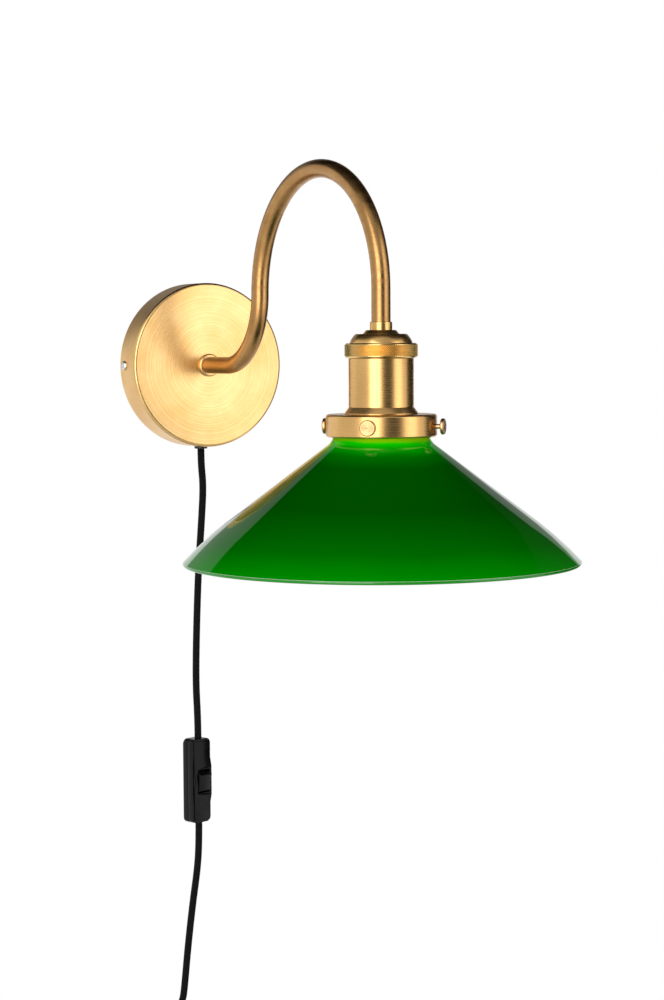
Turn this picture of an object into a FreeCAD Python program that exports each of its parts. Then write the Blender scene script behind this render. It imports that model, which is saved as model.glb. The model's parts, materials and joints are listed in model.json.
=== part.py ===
import FreeCAD, Part
import math
import os
import Sketcher

from FreeCAD import Placement, Rotation, Vector

# A gooseneck wall sconce with a glass cone shade and a plug-in cord, in millimetres.
#
# The origin is the middle of the canopy's back on the wall. The wall is the plane Y = 0, the arm
# stands out towards -Y and +Z is up. Every length below is a cell of the sheet "Sizes", and each
# sketch, pad and placement is bound to those cells.

SIZES = [
    # wall canopy and its bracket
    ("canopy_radius", 60.0, "outer radius of the wall canopy"),
    ("canopy_depth", 24.0, "how far the canopy stands out from the wall"),
    ("canopy_wall", 1.5, "thickness of the spun brass cup"),
    ("canopy_edge", 2.2, "radius of the canopy's front edge"),
    ("bracket_thickness", 2.0, "steel strap on the wall"),
    ("bracket_width", 14.0, "width of the strap and its ears"),
    ("bracket_gap", 0.6, "between an ear and the canopy's inside"),
    ("ear_length", 17.0, "how far the ears stand out from the wall"),
    ("tongue_width", 18.0, "tongue that carries the terminal block"),
    ("tongue_length", 38.0, "from the strap's middle to the tongue's end"),
    ("slot_spacing", 70.0, "between the two wall screw slots"),
    ("slot_length", 12.0, "end to end length of a slot"),
    ("slot_radius", 2.25, "half the width of a slot"),
    ("side_screw_depth", 7.0, "side screws' distance from the wall"),
    ("side_screw_radius", 1.45, "shank of the canopy's side screws"),
    ("side_screw_length", 6.0, "shank length under the head"),
    ("side_head_radius", 3.4, "head of a side screw"),
    ("side_head_height", 2.0, "height of that head"),
    ("hole_gap", 0.2, "radial clearance of a screw or thread in its hole"),
    # arm
    ("collar_radius", 8.35, "ring between canopy and arm"),
    ("collar_height", 2.5, "height of that ring"),
    ("collar_round", 1.4, "its rounded front edge"),
    ("nipple_radius", 4.9, "hollow threaded nipple"),
    ("nipple_bore", 3.6, "bore radius of the nipple"),
    ("nipple_grip", 8.0, "length of nipple inside the arm"),
    ("washer_radius", 9.0, "washer inside the canopy"),
    ("washer_thickness", 1.0, "its thickness"),
    ("nut_flats", 14.0, "across the flats of the locknut"),
    ("nut_thickness", 3.0, "its thickness"),
    ("nipple_spare", 2.0, "nipple beyond the locknut"),
    ("lamp_reach", 266.0, "from the wall to the shade's axis"),
    ("first_run", 27.5, "straight tube between the collar and the lower bend"),
    ("bend_radius", 50.0, "centreline radius of the lower bend"),
    ("tube_radius", 6.1, "outside of the arm tube"),
    ("tube_wall", 1.1, "wall of the arm tube"),
    ("wire_radius", 1.0, "insulated single wire"),
    ("wire_spread", 1.35, "each wire's distance from the arm's centreline"),
    # terminal block
    ("block_width", 16.0, "terminal block"),
    ("block_depth", 11.0, "its depth away from the wall"),
    ("block_height", 16.0, "its height"),
    ("pole_spread", 4.0, "each pole's distance from the middle"),
    ("insert_radius", 2.1, "brass insert of a pole"),
    ("terminal_screw_radius", 1.2, "clamping screw of a pole"),
    # cord, its bush and strain relief
    ("cord_radius", 2.6, "braided cord"),
    ("cord_offset", 9.5, "cord axis to the wall"),
    ("gland_radius", 4.8, "outer flange of the bush"),
    ("gland_flange", 1.65, "thickness of that flange"),
    ("gland_neck", 4.0, "neck through the rim"),
    ("gland_inner", 5.2, "inner flange radius"),
    ("stop_length", 5.0, "strain relief clamp on the sheath"),
    ("sheath_length", 12.0, "sheath inside, above the bush's face"),
    # lampholder
    ("holder_top", 23.45, "height of the lampholder's top above the origin"),
    ("ferrule_radius", 7.15, "ring round the arm's end"),
    ("ferrule_height", 5.2, "its height"),
    ("boss_top_radius", 9.6, "flat on top of the cap"),
    ("boss_radius", 11.6, "foot of the cap's boss"),
    ("boss_height", 2.45, "height of the boss"),
    ("shoulder_radius", 16.3, "where the cap's dome begins"),
    ("shoulder_drop", 2.45, "from the top to the dome's beginning"),
    ("dome_round", 14.0, "radius of the dome's curve"),
    ("cap_radius", 20.1, "foot of the dome"),
    ("cap_height", 8.15, "from the top to the dome's foot"),
    ("cap_wall", 1.5, "wall of the lampholder's brass"),
    ("cap_skirt", 7.0, "threaded skirt inside the knurled ring"),
    ("ring_radius", 23.2, "knurled ring"),
    ("ring_height", 9.6, "height of the space that the ring fills"),
    ("ring_chamfer", 0.8, "its edges"),
    ("turning_gap", 0.15, "clearance round the ring, which turns"),
    ("body_radius", 20.8, "lampholder body"),
    ("body_height", 35.5, "from the knurled ring to the gallery"),
    ("flare_radius", 23.5, "foot of the body"),
    ("flare_height", 4.4, "height of the cone at its foot"),
    ("foot_groove", 0.35, "fine groove above that cone"),
    ("sleeve_radius", 18.9, "threaded sleeve of the lampholder"),
    ("sleeve_wall", 2.0, "its wall"),
    ("sleeve_length", 38.0, "its length"),
    ("base_height", 12.4, "ceramic base"),
    ("terminal_radius", 2.2, "terminal on the ceramic base"),
    ("terminal_height", 4.0, "its height"),
    ("terminal_spread", 6.0, "its distance from the axis"),
    ("shell_radius", 14.2, "threaded shell"),
    ("shell_wall", 0.5, "its wall"),
    ("shell_length", 26.0, "its length"),
    ("shade_ring_radius", 23.5, "ring that clamps the gallery"),
    ("shade_ring_height", 5.0, "its height"),
    # gallery and thumb screws
    ("gallery_radius", 35.5, "shade gallery"),
    ("gallery_height", 14.4, "its height"),
    ("gallery_wall", 1.5, "its wall"),
    ("gallery_edge", 1.8, "radius of its top edge"),
    ("gallery_chamfer", 1.0, "its bottom edge"),
    ("screw_angle", 45.0, "turn of the four screws round the axis"),
    ("screw_drop", 7.8, "screw axis below the gallery's top"),
    ("thumb_radius", 1.5, "stem of a thumb screw"),
    ("thumb_head", 5.15, "head radius of a thumb screw"),
    ("thumb_height", 2.5, "height of that head"),
    ("thumb_round", 0.9, "rounded edges of that head"),
    ("screw_gap", 0.3, "under a tightened head and before its tip"),
    ("screw_backed_out", 3.0, "how far the right-hand screw is backed out"),
    # glass shade
    ("neck_radius", 30.6, "outside of the glass neck"),
    ("lip_radius", 33.3, "lip that hangs on the screws"),
    ("lip_height", 4.1, "its height"),
    ("glass_wall", 3.5, "thickness of the cased glass"),
    ("cone_angle", 37.0, "slope of the cone below the horizontal"),
    ("cone_top", 2.35, "where cone and neck lines meet, below the gallery"),
    ("neck_round", 8.6, "curve between neck and cone"),
    ("neck_tangent", 4.29, "length that this curve takes of both lines"),
    ("rim_radius", 126.9, "outer radius at the rim's round end"),
    ("rim_width", 27.0, "band along the rim where the cone steepens, seen from above"),
    ("rim_fall", 24.6, "height of that band"),
    ("rim_round", 198.0, "radius of its curve outside"),
    ("rim_inner_round", 287.0, "radius of its curve inside"),
    ("rim_slope", 47.6, "slope of the glass at the rim"),
    ("rim_wall", 2.4, "thickness of the glass at the rim"),
    # bulb
    ("bulb_radius", 22.5, "globe of the bulb"),
    ("bulb_length", 78.0, "contact tip to the globe's end"),
    ("bulb_wall", 1.2, "wall of the globe"),
    ("bulb_cap_radius", 13.2, "screw cap"),
    ("bulb_cap_length", 22.0, "its length"),
    ("bulb_neck_radius", 12.4, "neck of the globe in the cap"),
    ("bulb_tip_height", 3.0, "contact tip above the cap"),
    ("bulb_tip_radius", 4.8, "contact tip"),
    # inline switch
    ("switch_height", 278.0, "top of the switch below the origin"),
    ("switch_length", 63.0, "length of the switch"),
    ("switch_width", 18.0, "its width"),
    ("switch_corner", 4.0, "corner radius of its outline"),
    ("parting_depth", 1.9, "groove between the half shells, behind the cord's axis"),
    ("switch_turn", 17.0, "turn of the switch about the cord"),
    ("base_depth", 4.6, "rear half shell"),
    ("parting_gap", 0.4, "width of that groove"),
    ("cover_depth", 5.4, "front half shell below its raised face"),
    ("shell_thickness", 1.6, "walls of the half shells"),
    ("face_inset", 1.2, "raised face inside the outline, at the sides"),
    ("face_end_inset", 1.8, "raised face inside the outline, at the ends"),
    ("face_low", 0.9, "raised face at the ends"),
    ("face_high", 2.6, "raised face at the rocker"),
    ("face_ramp_start", 18.5, "foot of the ramp, from the middle"),
    ("face_ramp_end", 11.0, "top of the ramp, from the middle"),
    ("rocker_width", 11.3, "rocker"),
    ("rocker_half", 8.0, "half its length"),
    ("rocker_crest", 6.2, "crest to the pivot, along the switch"),
    ("rocker_face", 5.9, "flat of the rocker above the pivot"),
    ("rocker_tilt", 11.0, "half of the rocker's travel, in degrees"),
    ("rocker_gap", 0.35, "between the rocker and its window, at the sides"),
    ("rocker_end_gap", 0.75, "between the rocker and its window, at the ends"),
    ("pin_radius", 1.0, "rocker's pivot pin"),
    ("pin_gap", 0.06, "running clearance of the rocker on its pin"),
    ("pin_depth", 1.8, "pivot in front of the cord's axis"),
    ("case_screw_radius", 0.9, "screws through the rear shell"),
    ("case_screw_head", 1.6, "their countersunk heads"),
    ("case_screw_side", 5.3, "their distance from the middle, across"),
    ("case_screw_end", 24.5, "their distance from the middle, along"),
    ("lead_radius", 0.8, "single cores inside the switch"),
    ("lead_spread", 1.3, "each core's distance from the cord's axis"),
    ("lead_length", 10.0, "cord sheath inside each end of the switch"),
    # plug
    ("plug_width", 35.3, "plug body across the pins"),
    ("plug_depth", 13.7, "its thickness"),
    ("plug_length", 34.0, "its length"),
    ("plug_waist", 15.0, "width where the cord enters"),
    ("plug_waist_depth", 10.5, "thickness where the cord enters"),
    ("plug_sleeve", 22.0, "length of its strain relief"),
    ("prong_radius", 2.0, "plug pins"),
    ("prong_length", 19.0, "their length"),
    ("prong_spacing", 19.0, "between the pins"),
    # coil of the spare cord
    ("coil_mean", 29.3, "mean radius of the coil's turns"),
    ("coil_pitch", 5.8, "from a turn to the next, and from a layer to the next"),
    ("coil_drop", 529.0, "coil's centre below the origin"),
    ("coil_side", 11.0, "coil's centre to the left"),
    ("coil_depth", 5.8, "first layer's distance from the wall"),
    ("tie_width", 9.0, "band that ties the coil"),
    ("tie_thickness", 1.2, "its thickness"),
    ("tie_gap", 0.3, "between the band and the turns"),
    ("tie_slack", 1.5, "extra room for the cord that comes in beside the turns"),
    ("tie_angle", 165.0, "place of the band round the coil, in degrees"),
]

doc = FreeCAD.newDocument("wall_sconce")
sheet = doc.addObject("Spreadsheet::Sheet", "Sizes")
for row, (alias, value, meaning) in enumerate(SIZES, start=1):
    sheet.set(f"A{row}", meaning)
    sheet.set(f"B{row}", str(value))
    sheet.setAlias(f"B{row}", alias)
doc.recompute()

# --------------------------------------------------------------------------- lengths and formulas


class Size:
    """A number together with the sheet formula that it comes from."""

    def __init__(self, value, formula):
        self.value = value
        self.formula = formula

    def __add__(self, other):
        other = as_size(other)
        return Size(self.value + other.value, f"({self.formula} + {other.formula})")

    def __sub__(self, other):
        other = as_size(other)
        return Size(self.value - other.value, f"({self.formula} - {other.formula})")

    def __mul__(self, other):
        other = as_size(other)
        return Size(self.value * other.value, f"({self.formula} * {other.formula})")

    def __truediv__(self, other):
        other = as_size(other)
        return Size(self.value / other.value, f"({self.formula} / {other.formula})")

    def __neg__(self):
        return Size(-self.value, f"(-{self.formula})")


def as_size(number):
    return number if isinstance(number, Size) else Size(float(number), f"{float(number):.6f}")


def size(alias):
    return Size(float(sheet.get(alias)), f"Sizes.{alias}")


def sine(angle):
    return Size(math.sin(math.radians(angle.value)), f"sin({angle.formula})")


def cosine(angle):
    return Size(math.cos(math.radians(angle.value)), f"cos({angle.formula})")


def tangent(angle):
    return Size(math.tan(math.radians(angle.value)), f"tan({angle.formula})")


# --------------------------------------------------------------------------------------- sketches

FRONT = "XZ_Plane"   # sketch X, Z; its normal points away from the wall
SIDE = "YZ_Plane"    # sketch Y, Z; its normal points to +X
TOP = "XY_Plane"     # sketch X, Y; its normal points up
pieces = {}


def pin_point(sketch, geometry, end, u, v):
    """Hold one end of a sketch line at (u, v), by sheet formulas."""
    for kind, amount, axis in (("DistanceX", u, -2), ("DistanceY", v, -1)):
        if abs(amount.value) < 1e-9:
            sketch.addConstraint(Sketcher.Constraint("PointOnObject", geometry, end, axis))
        else:
            number = sketch.addConstraint(Sketcher.Constraint(kind, geometry, end, amount.value))
            sketch.setExpression(f"Constraints[{number}]", amount.formula)


def draw_circle(sketch, u, v, radius):
    circle = Part.Circle(Vector(u.value, v.value, 0), Vector(0, 0, 1), radius.value)
    geometry = sketch.addGeometry(circle)
    number = sketch.addConstraint(Sketcher.Constraint("Radius", geometry, radius.value))
    sketch.setExpression(f"Constraints[{number}]", radius.formula)
    pin_point(sketch, geometry, 3, u, v)


def draw_arc(sketch, start, end, radius):
    """Arc from start to end; a positive radius has its centre on the left of the way."""
    reach = abs(radius.value)
    left = 1 if radius.value > 0 else -1
    chord = end - start
    across = Vector(-chord.y, chord.x, 0).normalize()
    height = math.sqrt(max(reach ** 2 - (chord.Length / 2) ** 2, 0.0))
    centre = (start + end) * 0.5 + across * (left * height)
    angles = [math.atan2(p.y - centre.y, p.x - centre.x) for p in (start, end)]
    circle = Part.Circle(centre, Vector(0, 0, 1), reach)
    if left > 0:
        geometry, ends = sketch.addGeometry(Part.ArcOfCircle(circle, angles[0], angles[1])), (1, 2)
    else:
        geometry, ends = sketch.addGeometry(Part.ArcOfCircle(circle, angles[1], angles[0])), (2, 1)
    number = sketch.addConstraint(Sketcher.Constraint("Radius", geometry, reach))
    sketch.setExpression(f"Constraints[{number}]", (radius if left > 0 else -radius).formula)
    return geometry, ends[0], ends[1]


def draw_outline(sketch, outline, closed=True):
    """Lines and arcs through (u, v) points; a third entry is the radius of the arc that follows."""
    corners = [(as_size(item[0]), as_size(item[1])) for item in outline]
    arcs = [as_size(item[2]) if len(item) > 2 else None for item in outline]
    spans = len(corners) if closed else len(corners) - 1
    drawn = []
    for index in range(spans):
        u, v = corners[index]
        next_u, next_v = corners[(index + 1) % len(corners)]
        start, end = Vector(u.value, v.value, 0), Vector(next_u.value, next_v.value, 0)
        if arcs[index] is None:
            drawn.append((sketch.addGeometry(Part.LineSegment(start, end)), 1, 2))
        else:
            drawn.append(draw_arc(sketch, start, end, arcs[index]))
    for index, (geometry, first, last) in enumerate(drawn):
        if closed or index + 1 < spans:
            following, following_first, _ = drawn[(index + 1) % spans]
            joint = Sketcher.Constraint("Coincident", geometry, last, following, following_first)
            sketch.addConstraint(joint)
        pin_point(sketch, geometry, first, *corners[index])
    if not closed:
        pin_point(sketch, drawn[-1][0], drawn[-1][2], *corners[-1])


def box_outline(u0, u1, v0, v1):
    return [(u0, v0), (u1, v0), (u1, v1), (u0, v1)]


def rounded_outline(half_width, half_height, corner):
    w, v, r = as_size(half_width), as_size(half_height), as_size(corner)
    return [(-w + r, -v), (w - r, -v, r), (w, -v + r), (w, v - r, r),
            (w - r, v), (-w + r, v, r), (-w, v - r), (-w, -v + r, r)]


def slot_outline(middle, half_length, radius):
    """A long hole whose round ends are two quarter circles each."""
    first, last = middle - half_length + radius, middle + half_length - radius
    return [(first, -radius), (last, -radius, radius), (last + radius, 0, radius), (last, radius),
            (first, radius, radius), (first - radius, 0, radius)]


class Piece:
    """A body of the document: one sub-part, or one of the solids of a group."""

    def __init__(self, label, keep=True):
        self.label = label
        self.body = doc.addObject("PartDesign::Body", label)
        self.steps = 0
        if keep:
            pieces[label] = self.body

    def sketch(self, plane, outlines=(), circles=(), start=0.0, closed=True):
        self.steps += 1
        sketch = self.body.newObject("Sketcher::SketchObject", f"{self.label}_sketch{self.steps}")
        origin = [part for part in self.body.Origin.OriginFeatures if part.Role == plane]
        sketch.AttachmentSupport = (origin[0], [""])
        sketch.MapMode = "FlatFace"
        sketch.setExpression("AttachmentOffset.Base.z", as_size(start).formula)
        for outline in outlines:
            draw_outline(sketch, outline, closed)
        for u, v, radius in circles:
            draw_circle(sketch, as_size(u), as_size(v), as_size(radius))
        return sketch

    def turn(self, plane, outline):
        """Revolve an outline of (radius, height) about the plane's vertical axis."""
        sketch = self.sketch(plane, [outline])
        feature = self.body.newObject("PartDesign::Revolution", f"{self.label}_turned{self.steps}")
        feature.Profile = sketch
        feature.ReferenceAxis = (sketch, ["V_Axis"])
        feature.Angle = 360
        return self

    def pad(self, plane, outlines=(), circles=(), start=0.0, length=1.0):
        sketch = self.sketch(plane, outlines, circles, start)
        feature = self.body.newObject("PartDesign::Pad", f"{self.label}_pad{self.steps}")
        feature.Profile = sketch
        feature.setExpression("Length", as_size(length).formula)
        return self

    def pocket(self, plane, outlines=(), circles=(), start=0.0, length=1.0):
        """Cut from start to start + length along the plane's normal."""
        doc.recompute()
        before = self.body.Shape.Volume
        sketch = self.sketch(plane, outlines, circles, start)
        feature = self.body.newObject("PartDesign::Pocket", f"{self.label}_pocket{self.steps}")
        feature.Profile = sketch
        feature.Reversed = True
        feature.setExpression("Length", as_size(length).formula)
        doc.recompute()
        if not self.body.Shape.Volume < before - 1e-6:
            raise RuntimeError(f"{self.label}: pocket {self.steps} removed nothing")
        return self

    def place(self, x=None, y=None, z=None, rotation=None):
        if rotation is not None:
            self.body.Placement = Placement(self.body.Placement.Base, rotation)
        for axis, amount in (("x", x), ("y", y), ("z", z)):
            if amount is not None:
                self.body.setExpression(f"Placement.Base.{axis}", as_size(amount).formula)
        return self


def gather(label, members):
    """One node of several separate solids."""
    group = doc.addObject("Part::Compound", label)
    group.Links = [member.body for member in members]
    pieces[label] = group


def fixed_shape(label, shape):
    """A node whose shape needs a path that no sketch feature gives."""
    feature = doc.addObject("Part::Feature", label)
    feature.Shape = shape
    pieces[label] = feature
    return feature


# ------------------------------------------------------------------------ paths of wires and cords


def bent_path(corners, radii):
    """A wire of straight runs with a tangent arc of the given radius at each inner corner."""
    edges = []
    start = corners[0]
    for index in range(1, len(corners) - 1):
        corner = corners[index]
        back = (corners[index - 1] - corner).normalize()
        onward = (corners[index + 1] - corner).normalize()
        half_turn = (math.pi - back.getAngle(onward)) / 2
        reach = radii[index - 1] * math.tan(half_turn)
        arc_start, arc_end = corner + back * reach, corner + onward * reach
        inward = (back + onward).normalize()
        to_centre = radii[index - 1] / math.cos(half_turn)
        arc_middle = corner + inward * (to_centre - radii[index - 1])
        if (arc_start - start).Length > 1e-6:
            edges.append(Part.LineSegment(start, arc_start).toShape())
        edges.append(Part.Arc(arc_start, arc_middle, arc_end).toShape())
        start = arc_end
    if (corners[-1] - start).Length > 1e-6:
        edges.append(Part.LineSegment(start, corners[-1]).toShape())
    return Part.Wire(edges)


def largest_radii(corners):
    """Arcs as large as the runs on both sides allow."""
    radii = []
    for before, corner, after in zip(corners, corners[1:], corners[2:]):
        back, onward = before - corner, after - corner
        half_turn = (math.pi - back.getAngle(onward)) / 2
        radii.append(0.45 * min(back.Length, onward.Length) / math.tan(half_turn))
    return radii


def tube_along(path, radius, name):
    """A round solid along a wire, its volume checked against section times length."""
    start = path.OrderedVertexes[0].Point
    first = path.OrderedEdges[0]
    heading = first.tangentAt(first.FirstParameter)
    if first.Orientation == "Reversed":
        heading = first.tangentAt(first.LastParameter) * -1
    ring = Part.Wire([Part.makeCircle(radius, start, heading)])
    tube = path.makePipeShell([ring], True, False)
    if tube.Volume < 0:
        tube.reverse()
    expected = math.pi * radius ** 2 * path.Length
    if abs(tube.Volume / expected - 1) > 0.01 or not tube.isValid():
        raise RuntimeError(f"{name}: volume {tube.Volume:.1f}, expected {expected:.1f}")
    print(f"{name}: length {path.Length:.1f}, volume {tube.Volume:.0f}")
    return tube


# ---------------------------------------------------------------------- heights shared by the lamp

reach = size("lamp_reach")
holder_top = size("holder_top")
cap_foot = holder_top - size("cap_height")
ring_foot = cap_foot - size("ring_height")
body_foot = ring_foot - size("body_height")
gallery_under = body_foot - size("gallery_wall")
gallery_foot = body_foot - size("gallery_height")
screw_height = body_foot - size("screw_drop")
hole_gap = size("hole_gap")


def lamp_piece(label, outline):
    """A turned piece on the lamp's upright axis, drawn at its height above the origin."""
    return Piece(label).turn(FRONT, outline).place(y=-reach)


def wall_piece(label, outline):
    """A turned piece on the canopy's axis, drawn as (radius, -distance from the wall)."""
    return Piece(label).turn(TOP, outline)


# ------------------------------------------------------------------------------------- wall bracket

canopy_r = size("canopy_radius")
canopy_d = size("canopy_depth")
canopy_t = size("canopy_wall")
screw_depth = size("side_screw_depth")
ear_face = canopy_r - canopy_t - size("bracket_gap")
half_strap = size("bracket_width") / 2
half_tongue = size("tongue_width") / 2
strap_t = size("bracket_thickness")


def make_bracket():
    tongue_end = -size("tongue_length")
    outline = [(-ear_face, -half_strap), (-half_tongue, -half_strap), (-half_tongue, tongue_end),
               (half_tongue, tongue_end), (half_tongue, -half_strap), (ear_face, -half_strap),
               (ear_face, half_strap), (-ear_face, half_strap)]
    piece = Piece("wall_bracket").pad(FRONT, [outline], length=strap_t)
    for inner, outer in ((-ear_face, -ear_face + strap_t), (ear_face - strap_t, ear_face)):
        piece.pad(FRONT, [box_outline(inner, outer, -half_strap, half_strap)],
                  length=size("ear_length"))
    slot_half, slot_r = size("slot_length") / 2, size("slot_radius")
    for middle in (-size("slot_spacing") / 2, size("slot_spacing") / 2):
        piece.pocket(FRONT, [slot_outline(middle, slot_half, slot_r)], start=-1, length=strap_t + 2)
    screw_hole = (-screw_depth, 0, size("side_screw_radius") + hole_gap)
    piece.pocket(SIDE, circles=[screw_hole], start=-canopy_r, length=canopy_r * 2)


# ------------------------------------------------------------------------------ canopy and screws


def make_canopy():
    edge = size("canopy_edge")
    bore = size("nipple_radius") + hole_gap
    outline = [(bore, -canopy_d), (canopy_r - edge, -canopy_d, edge), (canopy_r, edge - canopy_d),
               (canopy_r, 0), (canopy_r - canopy_t, 0), (canopy_r - canopy_t, edge - canopy_d, canopy_t - edge),
               (canopy_r - edge, canopy_t - canopy_d), (bore, canopy_t - canopy_d)]
    piece = wall_piece("canopy", outline)
    screw_hole = (-screw_depth, 0, size("side_screw_radius") + hole_gap)
    piece.pocket(SIDE, circles=[screw_hole], start=-canopy_r - 1, length=canopy_r * 2 + 2)
    cord_hole = (0, -size("cord_offset"), size("gland_neck") + hole_gap)
    piece.pocket(TOP, circles=[cord_hole], start=-canopy_r - 1, length=canopy_r / 2)


def make_canopy_screws():
    """Pan heads with a cross recess, turned about local Z and laid along X."""
    head_r, head_h = size("side_head_radius"), size("side_head_height")
    shank = size("side_screw_radius")
    screws = []
    for name, side, turn in (("left", -canopy_r, -90), ("right", canopy_r, 90)):
        outline = [(0, -size("side_screw_length")), (shank, -size("side_screw_length")), (shank, 0),
                   (head_r, 0), (head_r, head_h / 3, head_r * 0.75), (head_r * 0.45, head_h), (0, head_h)]
        screw = Piece(f"canopy_screw_{name}", keep=False).turn(FRONT, outline)
        half_length, half_width = head_r * 0.5, head_r * 0.14
        for u, v in ((half_length, half_width), (half_width, half_length)):
            screw.pocket(TOP, [box_outline(-u, u, -v, v)], start=head_h * 0.45, length=head_h)
        screw.place(x=side, y=-screw_depth, rotation=Rotation(Vector(0, 1, 0), turn))
        screws.append(screw)
    gather("canopy_screws", screws)


# ------------------------------------------------------------------ nipple, nut and collar of the arm

collar_h = size("collar_height")
nipple_r = size("nipple_radius")
washer_front = canopy_d - canopy_t
nut_front = washer_front - size("washer_thickness")
nipple_rear = nut_front - size("nut_thickness") - size("nipple_spare")
arm_start = canopy_d + collar_h
arch_radius = (reach - arm_start - size("first_run") - size("bend_radius")) / 2


def make_arm_mount():
    bore = nipple_r + hole_gap
    radius, soft = size("collar_radius"), size("collar_round")
    wall_piece("arm_collar", [(bore, -arm_start), (radius - soft, -arm_start, soft),
                              (radius, soft - arm_start), (radius, -canopy_d), (bore, -canopy_d)])
    front = arm_start + size("nipple_grip")
    inner = size("nipple_bore")
    wall_piece("arm_nipple", [(inner, -front), (nipple_r, -front), (nipple_r, -nipple_rear),
                              (inner, -nipple_rear)])
    wall_piece("arm_washer", [(bore, -washer_front), (size("washer_radius"), -washer_front),
                              (size("washer_radius"), -nut_front), (bore, -nut_front)])
    flat = size("nut_flats") / 2
    corner = flat / math.cos(math.radians(30))
    hexagon = [(corner * math.cos(math.radians(60 * k)), corner * math.sin(math.radians(60 * k)))
               for k in range(6)]
    Piece("arm_locknut").pad(FRONT, [hexagon], [(0, 0, bore)],
                             start=nut_front - size("nut_thickness"), length=size("nut_thickness"))


# ---------------------------------------------------------------------------------- gooseneck arm


def make_arm():
    bend, arch = size("bend_radius"), arch_radius
    rise = -reach + arch * 2
    piece = Piece("gooseneck_arm")
    centreline = [(-arm_start, 0), (rise + bend, 0, -bend), (rise, bend, arch),
                  (rise - arch, bend + arch, arch), (-reach, bend), (-reach, holder_top)]
    spine = piece.sketch(SIDE, [centreline], closed=False)
    outside = size("tube_radius")
    ring = piece.sketch(FRONT, circles=[(0, 0, outside), (0, 0, outside - size("tube_wall"))],
                        start=arm_start)
    doc.recompute()
    tube = piece.body.newObject("PartDesign::AdditivePipe", "gooseneck_arm_pipe")
    tube.Profile = ring
    tube.Spine = (spine, [f"Edge{k + 1}" for k in range(len(centreline) - 1)])


def make_arm_wires():
    """Two single wires from the terminal block through the whole arm to the lampholder."""
    wires = []
    bend, arch, lamp = size("bend_radius").value, arch_radius.value, -reach.value
    block_mid = -(strap_t.value + size("block_depth").value / 2)
    block_top = block_top_height.value
    turn = -(nipple_rear.value - 8.0)
    terminal_top = (base_top + size("terminal_height")).value
    top = bend + arch
    for side in (-1, 1):
        x = side * size("wire_spread").value
        pole = side * size("pole_spread").value
        post = side * size("terminal_spread").value
        corners = [Vector(pole, block_mid, block_top - 8.0), Vector(pole, block_mid, block_top + 4.0),
                   Vector(x, turn, -8.0), Vector(x, turn, 0), Vector(x, lamp + 2 * arch, 0),
                   Vector(x, lamp + 2 * arch, top), Vector(x, lamp, top),
                   Vector(x, lamp, terminal_top + 9.0), Vector(post, lamp, terminal_top + 3.5),
                   Vector(post, lamp, terminal_top)]
        radii = [3.0, 3.0, 6.0, bend, arch, arch, 3.0, 3.0]
        wires.append(tube_along(bent_path(corners, radii), size("wire_radius").value, "arm wire"))
    fixed_shape("arm_wires", Part.Compound(wires))


# --------------------------------------------------------------------------------- terminal block

block_top_height = -(size("tongue_length") - size("block_height")) + 3
block_foot_height = block_top_height - size("block_height")
block_middle = strap_t + size("block_depth") / 2


def make_terminal_block():
    half = size("block_width") / 2
    pole = size("pole_spread")
    insert_r = size("insert_radius")
    screw_r = size("terminal_screw_radius")
    screw_levels = [block_top_height - size("block_height") * share for share in (0.28, 0.72)]
    screw_spots = [(side, level) for side in (-pole, pole) for level in screw_levels]
    piece = Piece("terminal_block")
    piece.pad(FRONT, [box_outline(-half, half, block_foot_height, block_top_height)],
              start=strap_t, length=size("block_depth"))
    bores = [(side, -block_middle, insert_r + hole_gap) for side in (-pole, pole)]
    piece.pocket(TOP, circles=bores, start=block_foot_height - 1, length=size("block_height") + 2)
    access = [(u, v, screw_r + hole_gap) for u, v in screw_spots]
    piece.pocket(FRONT, circles=access, start=block_middle, length=size("block_depth"))
    inserts, screws = [], []
    for index, side in enumerate((-pole, pole)):
        insert = Piece(f"insert_{index}", keep=False)
        rings = [(side, -block_middle, insert_r), (side, -block_middle, size("wire_radius") + 0.15)]
        insert.pad(TOP, circles=rings, start=block_foot_height + 1, length=size("block_height") - 2)
        access = [(side, level, screw_r + hole_gap / 2) for level in screw_levels]
        insert.pocket(FRONT, circles=access, start=block_middle, length=insert_r + 1)
        inserts.append(insert)
    for index, (u, v) in enumerate(screw_spots):
        screw = Piece(f"block_screw_{index}", keep=False)
        screw.pad(FRONT, circles=[(u, v, screw_r)], start=block_middle + size("wire_radius") + 0.1,
                  length=size("block_depth") / 2 - size("wire_radius") - 0.8)
        screws.append(screw)
    gather("terminal_inserts", inserts)
    gather("terminal_screws", screws)


# ------------------------------------------------------------------- cord bush and the cord inside

cord_r = size("cord_radius")
cord_y = -size("cord_offset")
gland_face = -canopy_r - size("gland_flange")
gland_top = -canopy_r + canopy_t + 2.0


def cord_piece(label, outline):
    return Piece(label).turn(FRONT, outline).place(y=cord_y)


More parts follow.
